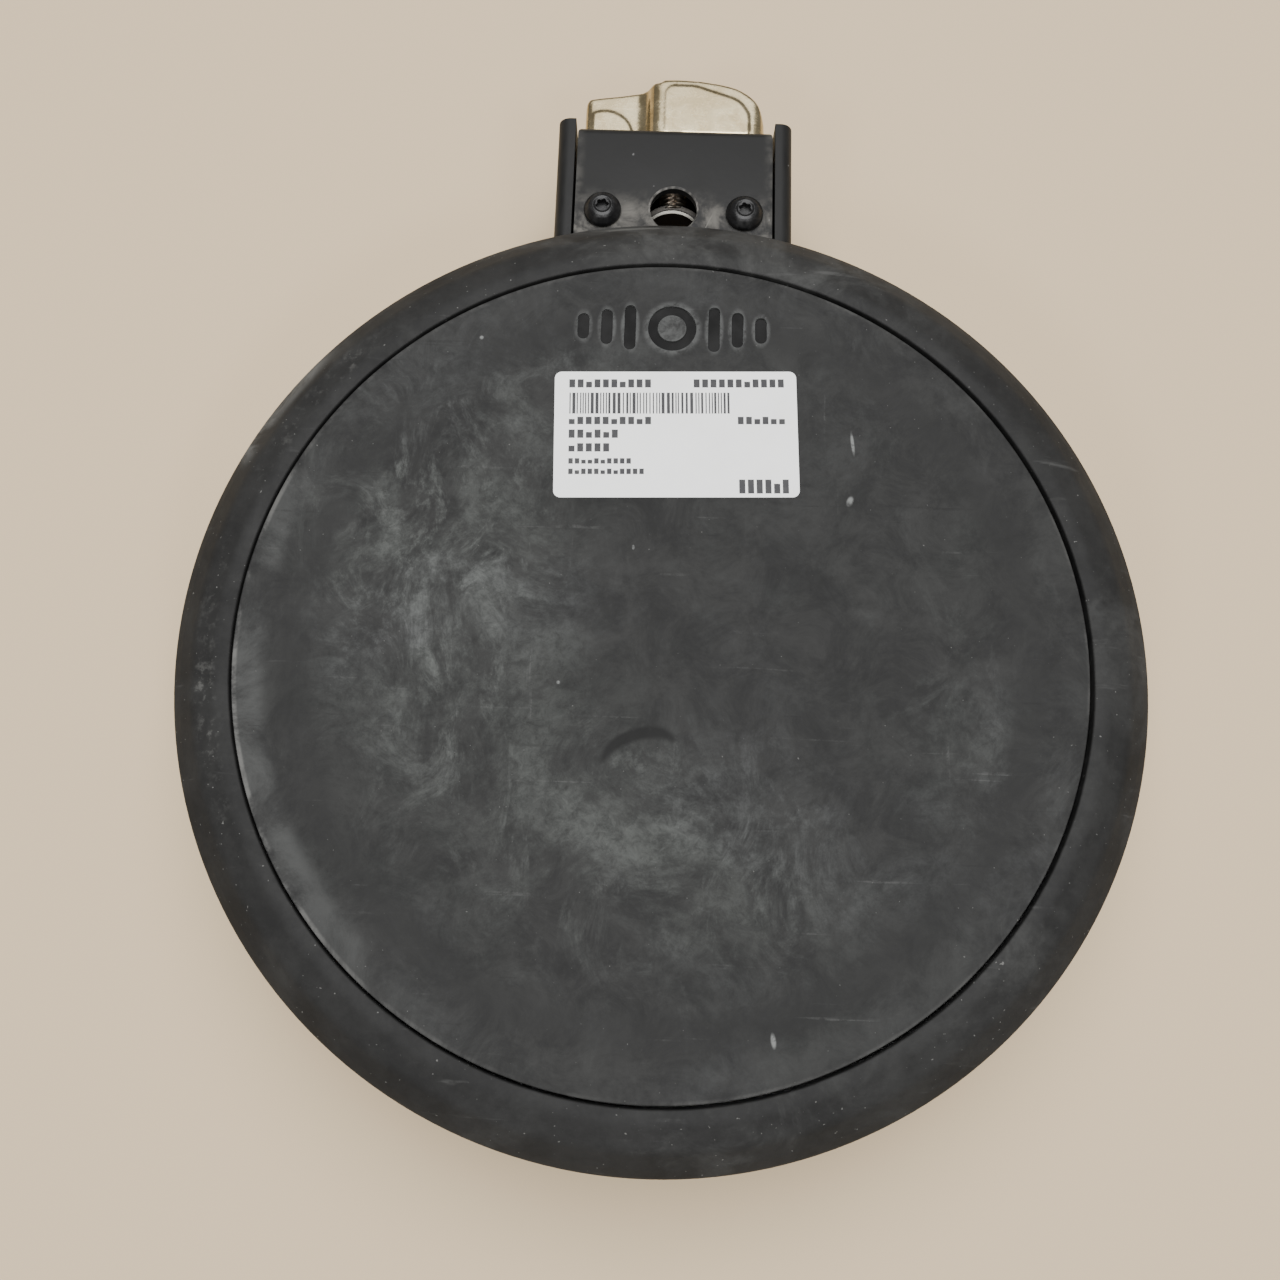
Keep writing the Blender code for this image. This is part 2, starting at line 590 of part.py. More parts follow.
def make_lead(name, points, finish, radius=0.6):
    curve = bpy.data.curves.new(name, "CURVE")
    curve.dimensions = "3D"
    curve.bevel_depth = radius * MM
    curve.bevel_resolution = 1
    curve.use_fill_caps = True
    route = smooth_route(points, 3)
    spline = curve.splines.new("POLY")
    spline.points.add(len(route) - 1)
    for point, place in zip(spline.points, route):
        point.co = (*(place * MM), 1)
    curve.materials.append(MATERIALS[finish])
    PARTS.objects.link(bpy.data.objects.new(name, curve))


def make_leads():
    board_top = BOARD_Z + BOARD_THICKNESS + GAP + 0.4
    piezo_under = 49.1
    make_lead("piezo_lead_signal", [(4, -3, piezo_under - 0.4), (6, -8, 44), (12, -10, 30), (14, -3, 18),
                                    (14, 2, board_top)], "lead_red")
    make_lead("piezo_lead_ground", [(12, -1, piezo_under - 0.1), (15, -7, 42), (20, -9, 29), (19, -2, 18),
                                    (19, 2, board_top)], "lead_black")
    x = LEAD_HOLE[0]
    film = FILM_Z + 0.9
    for name, offset, finish in (("rim_lead_signal", 0.9, "lead_red"),
                                 ("rim_lead_ground", -0.9, "lead_black")):
        make_lead(name, [(93.1, offset, film), (x + 1.2, offset, film - 0.2), (x, offset, 52),
                         (x - 3, offset, 44), (76, offset * 2, 30), (56, 4 + offset, 21),
                         (42, 12 + offset, 19), (35, 17 + offset, board_top)], finish)
    lugs = ((1.2, 9.0, "jack_lead_tip", "lead_red"), (-1.2, 18.0, "jack_lead_sleeve", "lead_black"))
    rear = JACK_WALL_Y - 2.5 - GAP - 24.2
    for shift, along, name, finish in lugs:
        end = (JACK_X + shift, rear + along, JACK_Z + 8.4)
        make_lead(name, [(22 + 2 * shift, 19, board_top), (24 + 2 * shift, 22, 22), (34 + 2 * shift, 26, 31),
                         (44, rear + along, 32), end], finish)


PARTS, CUTTERS = empty_scene()
MATERIALS = make_materials()
make_head()
make_rim()
make_rim_switch()
make_label()
make_case()
make_head_plate()
make_case_screws()
make_piezo()
make_channel()
make_plate()
make_holder_screws()
make_eye_bolt()
make_washer()
make_wing_nut()
make_jack()
make_board()
make_leads()
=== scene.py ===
"""Looks of the rubber-faced drum trigger pad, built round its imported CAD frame.

Lengths in the shape code are millimetres in the frame's own axes: +Z up through the striking face,
+Y towards the rod holder. Places come from the boxes of the CAD nodes.
"""

import json
import math
import random

import bmesh
import bpy
from mathutils import Matrix, Vector


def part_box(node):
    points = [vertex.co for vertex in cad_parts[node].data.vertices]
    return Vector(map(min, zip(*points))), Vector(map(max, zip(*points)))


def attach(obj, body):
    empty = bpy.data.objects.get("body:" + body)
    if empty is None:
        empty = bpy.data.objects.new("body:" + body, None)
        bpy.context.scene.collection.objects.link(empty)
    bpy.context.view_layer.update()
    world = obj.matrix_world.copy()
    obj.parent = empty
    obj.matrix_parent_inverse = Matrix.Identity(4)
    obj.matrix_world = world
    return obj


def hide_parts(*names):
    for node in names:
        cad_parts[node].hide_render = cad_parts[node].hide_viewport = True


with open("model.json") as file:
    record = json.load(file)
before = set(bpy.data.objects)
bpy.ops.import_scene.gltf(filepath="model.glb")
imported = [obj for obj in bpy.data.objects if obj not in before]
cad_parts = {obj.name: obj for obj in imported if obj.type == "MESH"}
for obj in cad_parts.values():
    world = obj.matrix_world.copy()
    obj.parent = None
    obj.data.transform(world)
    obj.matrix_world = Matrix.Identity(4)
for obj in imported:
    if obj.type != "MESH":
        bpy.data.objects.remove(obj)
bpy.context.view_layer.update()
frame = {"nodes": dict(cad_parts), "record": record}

MM = 0.001
FINE = 192          # steps round the large turned pieces
ROUND = 48          # steps round the small ones


def box(node):
    """Lowest and highest corner of a CAD node, in millimetres."""
    low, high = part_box(node)
    return Vector(low) / MM, Vector(high) / MM


# ---------------------------------------------------------------- places from the frame

head_low, head_high = box("head_rubber")
rim_low, rim_high = box("rim_rubber")
case_low, case_high = box("bottom_case")
plate_low, plate_high = box("holder_plate")
channel_low, channel_high = box("holder_channel")
bolt_low, bolt_high = box("eye_bolt")
nut_low, nut_high = box("wing_nut")
washer_low, washer_high = box("flat_washer")
label_low, label_high = box("price_label")
bush_low, bush_high = box("jack_bush")
cushion_low, cushion_high = box("head_cushion")

RIM_RADIUS = rim_high.x
RIM_TOP = rim_high.z
WIDEST_Z = RIM_TOP - 7.8
HEAD_RADIUS = head_high.x
HEAD_TOP = head_high.z
HEAD_FLAT = HEAD_TOP - 0.2
PLATE_TOP = plate_high.z
PLATE_END = plate_high.y
PLATE_HALF = plate_high.x
SHEET = 2.5         # the holder's sheet steel
AXIS_Z = (washer_low.z + washer_high.z) / 2
ROD = (0.0, 115.7)  # centre of the rod hole
ROD_HOLE = 5.8
SCREW_X = 17.5      # the lobe screws, either side of the middle
POST_HOLE = 2.8
POSTS = [(x, y) for x in (-SCREW_X, SCREW_X) for y in (80.0, 114.6)]
WEB_LOW = channel_low.z
BOLT_HOLE = 4.4
MARK = (0.3, 77.2)  # centre of the moulded mark
MARK_BARS = [(MARK[0] + side * (9.7 + 5.4 * number), height)
             for number, height in enumerate((11.2, 8.8, 6.4)) for side in (-1, 1)]
LABEL_SIZE = (55.1, 30.4)


# ---------------------------------------------------------------- outlines

def arc(centre, radius, start, end, count):
    """Points of an arc, with angles in degrees."""
    points = []
    for step in range(count + 1):
        angle = math.radians(start + (end - start) * step / count)
        points.append((centre[0] + radius * math.cos(angle), centre[1] + radius * math.sin(angle)))
    return points


def rounded(corners, closed=True, fineness=6):
    """An outline from (x, y, radius) corners, each corner replaced by an arc of its radius."""
    points = []
    last = len(corners) - 1
    for index, (x, y, radius) in enumerate(corners):
        corner = Vector((x, y))
        if radius == 0 or (not closed and index in (0, last)):
            points.append((x, y))
            continue
        before = Vector(corners[index - 1][:2]) - corner
        after = Vector(corners[(index + 1) % len(corners)][:2]) - corner
        half = before.angle(after) / 2
        reach = min(radius / math.tan(half), 0.49 * before.length, 0.49 * after.length)
        real = reach * math.tan(half)
        middle = corner + (before.normalized() + after.normalized()).normalized() * (real / math.sin(half))
        start = corner + before.normalized() * reach - middle
        end = corner + after.normalized() * reach - middle
        first = math.atan2(start.y, start.x)
        turn = math.atan2(start.x * end.y - start.y * end.x, start.dot(end))
        for step in range(fineness + 1):
            angle = first + turn * step / fineness
            points.append((middle.x + real * math.cos(angle), middle.y + real * math.sin(angle)))
    return points


def tile(low, high, radius, fineness=6):
    """The outline of a rectangle with rounded corners."""
    corners = ((low[0], low[1]), (high[0], low[1]), (high[0], high[1]), (low[0], high[1]))
    return rounded([(*corner, radius) for corner in corners], fineness=fineness)


# ---------------------------------------------------------------- meshes

def to_mesh(name, shape):
    """A mesh in metres from a bmesh in millimetres, which is used up."""
    bmesh.ops.recalc_face_normals(shape, faces=shape.faces)
    bmesh.ops.scale(shape, vec=(MM, MM, MM), verts=shape.verts)
    mesh = bpy.data.meshes.new(name)
    shape.to_mesh(mesh)
    shape.free()
    return mesh


def lathe(profile, steps=ROUND, closed=False, place=Matrix.Identity(4)):
    """A bmesh turned about local Z from (radius, height) points, in millimetres."""
    shape = bmesh.new()
    rings = []
    for radius, height in profile:
        if radius < 1e-6:
            rings.append([shape.verts.new((0, 0, height))])
            continue
        ring = []
        for step in range(steps):
            angle = 2 * math.pi * step / steps
            ring.append(shape.verts.new((radius * math.cos(angle), radius * math.sin(angle), height)))
        rings.append(ring)
    pairs = list(zip(rings, rings[1:]))
    if closed:
        pairs.append((rings[-1], rings[0]))
    for upper, lower in pairs:
        for step in range(steps):
            following = (step + 1) % steps
            if len(upper) == 1 and len(lower) == 1:
                break
            if len(upper) == 1:
                shape.faces.new((upper[0], lower[step], lower[following]))
            elif len(lower) == 1:
                shape.faces.new((upper[step], lower[0], upper[following]))
            else:
                shape.faces.new((upper[step], lower[step], lower[following], upper[following]))
    bmesh.ops.transform(shape, matrix=place, verts=shape.verts)
    return shape


def prism(outline, low, high, place=Matrix.Identity(4)):
    """A bmesh of a flat outline in local XY, from one height to another."""
    shape = bmesh.new()
    base = [shape.verts.new((x, y, low)) for x, y in outline]
    face = shape.faces.new(base)
    extruded = bmesh.ops.extrude_face_region(shape, geom=[face])
    moved = [item for item in extruded["geom"] if isinstance(item, bmesh.types.BMVert)]
    bmesh.ops.translate(shape, vec=(0, 0, high - low), verts=moved)
    bmesh.ops.transform(shape, matrix=place, verts=shape.verts)
    return shape


def drill(radius, top, bottom, steps=ROUND, place=Matrix.Identity(4)):
    """A solid cylinder along local Z, to cut a round hole with."""
    return lathe([(0, top), (radius, top), (radius, bottom), (0, bottom)], steps, place=place)


def block(low, high):
    """A box between two opposite corners."""
    outline = [(low[0], low[1]), (high[0], low[1]), (high[0], high[1]), (low[0], high[1])]
    return prism(outline, low[2], high[2])


def along_y(x, y, z):
    """A frame whose local Z points along +Y."""
    return Matrix.Translation((x, y, z)) @ Matrix.Rotation(-math.pi / 2, 4, "X")


# Frames whose local X, Y, Z are the world's Y, Z, X, and its X, Z, -Y.
ALONG_X = Matrix(((0, 0, 1, 0), (1, 0, 0, 0), (0, 1, 0, 0), (0, 0, 0, 1)))
AGAINST_Y = Matrix(((1, 0, 0, 0), (0, 0, -1, 0), (0, 1, 0, 0), (0, 0, 0, 1)))


def add(name, data):
    """A new object in the scene."""
    obj = bpy.data.objects.new(name, data)
    bpy.context.scene.collection.objects.link(obj)
    return obj


def take_shape(obj):
    """Turn a helper object back into a bmesh in millimetres."""
    shape = bmesh.new()
    shape.from_mesh(obj.data)
    bmesh.ops.scale(shape, vec=(1 / MM, 1 / MM, 1 / MM), verts=shape.verts)
    bpy.data.objects.remove(obj)
    return shape


def bake(obj):
    """Make the modifiers' result the object's own mesh."""
    graph = bpy.context.evaluated_depsgraph_get()
    mesh = bpy.data.meshes.new_from_object(obj.evaluated_get(graph))
    obj.modifiers.clear()
    obj.data = mesh


def carve(obj, *shapes, operation="DIFFERENCE"):
    """Cut, join or intersect the object with closed shapes, one after another."""
    tools = []
    for shape in shapes:
        tool = add("tool", to_mesh("tool", shape))
        modifier = obj.modifiers.new("carve", "BOOLEAN")
        modifier.operation = operation
        modifier.object = tool
        tools.append(tool)
    bake(obj)
    for tool in tools:
        bpy.data.objects.remove(tool)


def soften(obj, width, segments=3, angle=35, slot=-1):
    """Round the edges, optionally giving the new faces their own material slot."""
    modifier = obj.modifiers.new("soften", "BEVEL")
    modifier.width = width * MM
    modifier.segments = segments
    modifier.limit_method = "ANGLE"
    modifier.angle_limit = math.radians(angle)
    modifier.harden_normals = True
    modifier.material = slot
    bake(obj)


def make(name, shape, finish, body="pad", stands_for=()):
    """A piece from a bmesh in millimetres, riding on a body and standing for CAD nodes."""
    obj = add(name, to_mesh(name, shape))
    for material in finish if isinstance(finish, (list, tuple)) else [finish]:
        obj.data.materials.append(material)
    obj.data.shade_smooth()
    obj.data.set_sharp_from_angle(angle=math.radians(38))
    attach(obj, body)
    if stands_for:
        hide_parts(*stands_for)
    return obj


# ---------------------------------------------------------------- material helpers

class Finish:
    """A Principled material with the few node patterns that the pad's surfaces share."""

    def __init__(self, name, roughness=0.5, metallic=0.0, specular=0.5):
        self.material = bpy.data.materials.new(name)
        self.material.use_nodes = True
        self.tree = self.material.node_tree
        self.shader = self.tree.nodes["Principled BSDF"]
        self.shader.inputs["Roughness"].default_value = roughness
        self.shader.inputs["Metallic"].default_value = metallic
        self.shader.inputs["Specular IOR Level"].default_value = specular
        self.where = self.tree.nodes.new("ShaderNodeTexCoord").outputs["Object"]

    def node(self, kind, **settings):
        node = self.tree.nodes.new(kind)
        for key, value in settings.items():
            setattr(node, key, value)
        return node

    def wire(self, source, target):
        self.tree.links.new(source, target)

    def placed(self, scale, turn=0.0):
        """The object's coordinates, turned about Z and scaled."""
        mapping = self.node("ShaderNodeMapping")
        mapping.inputs["Rotation"].default_value = (0, 0, math.radians(turn))
        mapping.inputs["Scale"].default_value = scale
        self.wire(self.where, mapping.inputs["Vector"])
        return mapping.outputs["Vector"]

    def noise(self, scale, detail=4.0, roughness=0.55, vector=None, distortion=0.0):
        node = self.node("ShaderNodeTexNoise")
        node.inputs["Scale"].default_value = scale
        node.inputs["Detail"].default_value = detail
        node.inputs["Roughness"].default_value = roughness
        node.inputs["Distortion"].default_value = distortion
        self.wire(vector or self.where, node.inputs["Vector"])
        return node.outputs["Fac"]

    def remap(self, value, low, high, to_low=0.0, to_high=1.0):
        node = self.node("ShaderNodeMapRange", interpolation_type="SMOOTHSTEP")
        self.wire(value, node.inputs["Value"])
        for key, number in (("From Min", low), ("From Max", high), ("To Min", to_low), ("To Max", to_high)):
            node.inputs[key].default_value = number
        return node.outputs["Result"]

    def math(self, operation, first, second):
        node = self.node("ShaderNodeMath", operation=operation)
        for item, socket in zip((first, second), node.inputs):
            if isinstance(item, (int, float)):
                socket.default_value = item
            else:
                self.wire(item, socket)
        return node.outputs["Value"]

    def times(self, *values):
        total = values[0]
        for value in values[1:]:
            total = self.math("MULTIPLY", total, value)
        return total

    def plus(self, *values):
        total = values[0]
        for value in values[1:]:
            total = self.math("ADD", total, value)
        return total

    def mix(self, amount, first, second):
        """Mix two colours or sockets by a mask."""
        node = self.node("ShaderNodeMix", data_type="RGBA")
        self.wire(amount, node.inputs["Factor"])
        for item, socket in ((first, node.inputs[6]), (second, node.inputs[7])):
            if isinstance(item, tuple):
                socket.default_value = (*item, 1.0)
            else:
                self.wire(item, socket)
        return node.outputs[2]

    def blend(self, pattern, low, high, first, second):
        """Mix two colours by a pattern, stretched between two of its levels."""
        return self.mix(self.remap(pattern, low, high), first, second)

    def over(self, shade, mask, amount, tint):
        """Lay a tint over a shade where the mask is, by an amount."""
        return self.mix(self.times(mask, amount), shade, tint)

    def spot(self, centre, radii, turn=0.0, soft=0.6):
        """A mask that is 1 inside an ellipse seen from above and fades out at its edge."""
        shift = self.node("ShaderNodeVectorMath", operation="SUBTRACT")
        self.wire(self.where, shift.inputs[0])
        shift.inputs[1].default_value = (centre[0] * MM, centre[1] * MM, 0)
        mapping = self.node("ShaderNodeMapping")
        mapping.inputs["Rotation"].default_value = (0, 0, -math.radians(turn))
        self.wire(shift.outputs[0], mapping.inputs["Vector"])
        size = self.node("ShaderNodeVectorMath", operation="MULTIPLY")
        self.wire(mapping.outputs["Vector"], size.inputs[0])
        size.inputs[1].default_value = (1 / (radii[0] * MM), 1 / (radii[1] * MM), 0)
        length = self.node("ShaderNodeVectorMath", operation="LENGTH")
        self.wire(size.outputs[0], length.inputs[0])
        return self.remap(length.outputs["Value"], 1.0, 1.0 - soft)

    def axis(self, letter):
        split = self.node("ShaderNodeSeparateXYZ")
        self.wire(self.where, split.inputs[0])
        return split.outputs[letter]

    def radius(self):
        """Distance from the pad's own vertical axis."""
        flat = self.node("ShaderNodeVectorMath", operation="MULTIPLY")
        self.wire(self.where, flat.inputs[0])
        flat.inputs[1].default_value = (1, 1, 0)
        length = self.node("ShaderNodeVectorMath", operation="LENGTH")
        self.wire(flat.outputs[0], length.inputs[0])
        return length.outputs["Value"]

    def ring(self, start, full, fading, end):
        """A mask that is 1 in a band round the pad's axis, between two radii in metres."""
        return self.times(self.remap(self.radius(), start, full), self.remap(self.radius(), end, fading))

    def bump(self, height, depth, strength):
        """Relief of a depth given in millimetres."""
        node = self.node("ShaderNodeBump")
        node.inputs["Strength"].default_value = strength
        node.inputs["Distance"].default_value = depth * MM
        self.wire(height, node.inputs["Height"])
        self.wire(node.outputs["Normal"], self.shader.inputs["Normal"])

    def colour(self, source):
        if isinstance(source, tuple):
            self.shader.inputs["Base Color"].default_value = (*source, 1.0)
        else:
            self.wire(source, self.shader.inputs["Base Color"])

    def rough(self, source):
        self.wire(source, self.shader.inputs["Roughness"])


# ---------------------------------------------------------------- materials

def head_rubber():
    """Charcoal rubber under wisps of chalky dust, with scuffs and fine scratches, and a painted highlight
    along its left edge.
    """
    mat = Finish("head rubber", specular=0.19)
    broad = mat.noise(9.0, 4.0, 0.55, distortion=0.6)
    wisps = mat.noise(30.0, 14.0, 0.74, distortion=0.7)
    feathers = mat.noise(1.0, 12.0, 0.76, mat.placed((66, 38, 1), 24), 1.1)
    fine = mat.noise(330.0, 8.0, 0.8, distortion=0.4)
    left = mat.spot((-50, 18), (40, 66), 12, 0.9)
    low = mat.spot((-6, -40), (70, 36), -14, 0.9)
    upper = mat.spot((-30, 58), (36, 24), 20, 0.9)
    right = mat.spot((66, -14), (26, 44), 20, 0.9)
    cover = mat.plus(mat.times(left, 1.15), mat.times(low, 0.80), mat.times(upper, 0.4),
                     mat.times(right, 0.3), 0.16)
    dust = mat.times(mat.remap(wisps, 0.40, 0.66), mat.remap(broad, 0.25, 0.62, 0.35, 1.0), cover)
    streaky = mat.times(mat.remap(feathers, 0.46, 0.70), cover, 0.75)
    dust = mat.math("MAXIMUM", dust, streaky)
    dust = mat.times(dust, mat.remap(fine, 0.30, 0.68, 0.35, 1.45))
    rubber = mat.blend(mat.noise(75.0, 12.0, 0.8, distortion=0.6), 0.34, 0.66,
                       (0.0130,) * 3, (0.0265, 0.0265, 0.0258))
    tint = mat.blend(broad, 0.4, 0.6, (0.088, 0.093, 0.088), (0.100, 0.103, 0.104))
    shade = mat.mix(dust, rubber, tint)
    band = mat.ring(0.0740, 0.0785, 0.0815, 0.0850)
    shade = mat.over(shade, band, 0.5, (0.0190, 0.0190, 0.0188))
    west = mat.spot((-70, -12), (60, 88), 0, 0.8)
    border = mat.times(mat.remap(mat.radius(), 0.0845, 0.0885), mat.remap(wisps, 0.36, 0.60))
    shade = mat.over(shade, border, mat.plus(mat.times(west, 0.55), 0.08), (0.080, 0.082, 0.080))
    streaks = mat.noise(1.0, 3.0, 0.6, mat.placed((22, 520, 1), 62))
    marks = mat.noise(1.0, 3.0, 0.6, mat.placed((18, 460, 1), -28))
    arcs = mat.noise(1.0, 3.0, 0.6, mat.placed((420, 26, 1), 12))
    scratch = mat.plus(mat.remap(streaks, 0.66, 0.74), mat.remap(marks, 0.67, 0.75),
                       mat.remap(arcs, 0.68, 0.76))
    scratch = mat.times(scratch, mat.remap(fine, 0.40, 0.60), mat.remap(wisps, 0.40, 0.56))
    shade = mat.over(shade, scratch, 0.40, (0.100, 0.100, 0.098))
    dull = mat.times(mat.remap(streaks, 0.34, 0.26), mat.remap(fine, 0.42, 0.58))
    shade = mat.over(shade, dull, 0.55, (0.012,) * 3)
    scuffs = ((41.7, 50.0, 0.5, 3.4, 6), (41.0, 36.2, 0.9, 1.5, -20), (24.6, -79.6, 0.7, 1.9, 8),
              (-7.0, 24.0, 0.4, 0.7, 0), (-43.5, 73.5, 0.6, 0.6, 0), (-22.2, -7.0, 0.5, 0.5, 0))
    nick = mat.spot(scuffs[0][:2], scuffs[0][2:4], scuffs[0][4])
    for x, y, wide, long, turn in scuffs[1:]:
        nick = mat.math("MAXIMUM", nick, mat.spot((x, y), (wide, long), turn))
    nick = mat.times(nick, mat.remap(fine, 0.30, 0.55))
    shade = mat.over(shade, nick, 0.8, (0.20, 0.205, 0.20))
    dark = mat.math("SUBTRACT", mat.spot((-4.6, -21.4), (9.2, 5.4), 22, 0.2),
                    mat.spot((-4.0, -24.6), (10.2, 6.0), 22, 0.2))
    dark = mat.times(mat.math("MAXIMUM", dark, 0.0), mat.remap(fine, 0.25, 0.45))
    shade = mat.over(shade, dark, 0.85, (0.010,) * 3)
    # Painted highlight: a lighter line along the head's outer edge, strongest on the left where the light
    # falls, broken up by the dust pattern.
    edge = mat.times(mat.remap(mat.radius(), 0.0917, 0.0923), mat.remap(wisps, 0.42, 0.58),
                     mat.remap(fine, 0.30, 0.55, 0.5, 1.0))
    shade = mat.over(shade, edge, mat.plus(mat.times(west, 0.50), 0.14), (0.165, 0.163, 0.155))
    halo = mat.spot(MARK, (7.3, 7.3), 0, 0.2)
    for x, height in MARK_BARS:
        halo = mat.math("MAXIMUM", halo, mat.spot((x, MARK[1]), (2.5, height / 2 + 1.6), 0, 0.3))
    halo = mat.times(halo, mat.remap(wisps, 0.36, 0.56), mat.remap(fine, 0.32, 0.58))
    shade = mat.over(shade, halo, 0.55, (0.105, 0.108, 0.106))
    specks = mat.remap(mat.noise(1300.0, 1.0, 0.5), 0.77, 0.82)
    shade = mat.over(shade, specks, 0.4, (0.20, 0.20, 0.19))
    mat.colour(shade)
    mat.rough(mat.remap(wisps, 0.3, 0.75, 0.66, 0.86))
    grain = mat.plus(mat.times(fine, 0.45), mat.times(mat.noise(900.0, 3.0), 0.25),
                     mat.times(nick, -1.2), mat.times(scratch, -0.25), mat.times(wisps, 0.4))
    mat.bump(grain, 0.10, 0.6)
    return mat.material


def recess_rubber():
    """The clean rubber at the bottom of the moulded mark."""
    mat = Finish("recessed rubber", 0.85, specular=0.15)
    mat.colour(mat.blend(mat.noise(120.0), 0.35, 0.7, (0.0095,) * 3, (0.0180,) * 3))
    mat.bump(mat.noise(900.0, 3.0), 0.05, 0.6)
    return mat.material


def chalk_edge():
    """The dust that collects along the moulded mark's edges."""
    mat = Finish("chalky edge", 0.85, specular=0.2)
    mat.colour(mat.blend(mat.noise(260.0, 5.0), 0.35, 0.62, (0.030,) * 3, (0.115, 0.118, 0.117)))
    return mat.material


def rim_rubber():
    """Black rubber with grainy dust, rubbed grey over its left shoulder. Painted light: speckled highlights
    over its left crest and a lighter far side.
    """
    mat = Finish("rim rubber", specular=0.18)
    broad = mat.noise(13.0, 5.0, 0.6, distortion=0.8)
    wisps = mat.noise(46.0, 9.0, 0.68, distortion=1.0)
    fine = mat.noise(420.0, 5.0, 0.7)
    shade = mat.blend(mat.noise(60.0, 12.0, 0.8), 0.34, 0.66, (0.0130,) * 3, (0.0220, 0.0220, 0.0216))
    film = mat.times(mat.remap(wisps, 0.42, 0.68), mat.remap(broad, 0.38, 0.68),
                     mat.remap(fine, 0.3, 0.65, 0.5, 1.1))
    shade = mat.over(shade, film, 0.55, (0.070, 0.071, 0.069))
    # Painted highlight: light speckles in a band over the rim's crest, on the left side only, where the light
    # falls.
    ring = mat.ring(0.0955, 0.0980, 0.0995, 0.1025)
    west = mat.spot((-96, 20), (50, 90), 0, 0.6)
    sparkle_highlight = mat.times(ring, mat.remap(fine, 0.50, 0.66), mat.remap(broad, 0.35, 0.55), west)
    shade = mat.over(shade, sparkle_highlight, 0.7, (0.105, 0.105, 0.100))
    # Painted light: the far side of the rim is made lighter, as where the overhead light falls on it, laid
    # through the dust pattern.
    far_rim_light = mat.times(mat.spot((6, 98), (62, 20), 0, 0.8), mat.remap(wisps, 0.34, 0.62))
    shade = mat.over(shade, far_rim_light, 0.16, (0.075, 0.075, 0.072))
    shoulder = mat.times(mat.spot((-88, 56), (20, 30), 34, 0.6), mat.remap(wisps, 0.36, 0.58),
                         mat.remap(mat.radius(), 0.1025, 0.1060))
    shade = mat.over(shade, shoulder, 0.85, (0.130, 0.132, 0.128))
    rub = mat.times(mat.remap(mat.radius(), 0.1046, 0.1052), mat.remap(mat.radius(), 0.1062, 0.1056),
                    mat.spot((-9.5, 105), (9.5, 5), 0, 0.6), mat.remap(fine, 0.25, 0.5, 0.3, 1.0))
    shade = mat.over(shade, rub, 0.7, (0.095, 0.095, 0.090))
    scuffed = mat.times(mat.remap(mat.noise(1.0, 4.0, 0.6, mat.placed((30, 300, 30), 70)), 0.62, 0.72),
                        mat.remap(wisps, 0.42, 0.60))
    shade = mat.over(shade, scuffed, 0.35, (0.100, 0.100, 0.098))
    specks = mat.remap(mat.noise(1200.0, 1.0, 0.5), 0.75, 0.80)
    shade = mat.over(shade, specks, 0.5, (0.20, 0.20, 0.19))
    mat.colour(shade)
    mat.rough(mat.remap(wisps, 0.3, 0.75, 0.60, 0.80))
    mat.bump(mat.plus(mat.times(fine, 0.5), mat.times(wisps, 0.6)), 0.10, 0.6)
    return mat.material


def black_paint(dusty=False):
    """Satin black powder coat, with dust in the corner by the rim when dusty is set."""
    mat = Finish("black paint dusty" if dusty else "black paint", 0.5, specular=0.20)
    cloudy = mat.noise(90.0, 6.0, 0.65, distortion=0.6)
    peel = mat.noise(650.0, 2.0, 0.5)
    shade = mat.blend(cloudy, 0.3, 0.7, (0.0105,) * 3, (0.0135, 0.0135, 0.0132))
    if dusty:
        near = mat.remap(mat.axis("Y"), 0.1225, 0.1110)
        side = mat.remap(mat.math("ABSOLUTE", mat.axis("X"), 0.0), 0.0218, 0.0243)
        corner = mat.math("MAXIMUM", near, mat.times(side, 0.35))
        dust = mat.times(corner, mat.remap(cloudy, 0.36, 0.60), mat.remap(mat.noise(400.0, 4.0), 0.3, 0.6))
        for x in (-SCREW_X, SCREW_X):
            halo = mat.times(mat.spot((0.62 * x, 113.4), (4.6, 6.5), 0, 0.8), mat.remap(cloudy, 0.38, 0.58))
            dust = mat.math("MAXIMUM", dust, mat.times(halo, 0.9))
        shade = mat.mix(dust, shade, (0.115, 0.109, 0.098))
        line = mat.spot((8.6, 112.0), (0.22, 3.4), -24, 0.5)
        shade = mat.over(shade, line, 0.7, (0.14, 0.135, 0.12))
    chips = mat.remap(mat.noise(700.0, 1.0), 0.78, 0.81)
    shade = mat.over(shade, chips, 0.5, (0.20,) * 3)
    mat.colour(shade)
    mat.rough(mat.remap(cloudy, 0.3, 0.7, 0.42, 0.58))
    mat.bump(peel, 0.05, 0.5)
    return mat.material


def black_oxide():
    """Oiled black oxide, rubbed grey in places."""
    mat = Finish("black oxide", 0.3, 0.3, 0.4)
    cloudy = mat.noise(420.0, 4.0, 0.6)
    mat.colour(mat.blend(cloudy, 0.45, 0.75, (0.010, 0.010, 0.0105), (0.030,) * 3))
    mat.rough(mat.remap(cloudy, 0.3, 0.7, 0.24, 0.42))
    mat.bump(mat.noise(1300.0, 2.0), 0.03, 0.5)
    return mat.material


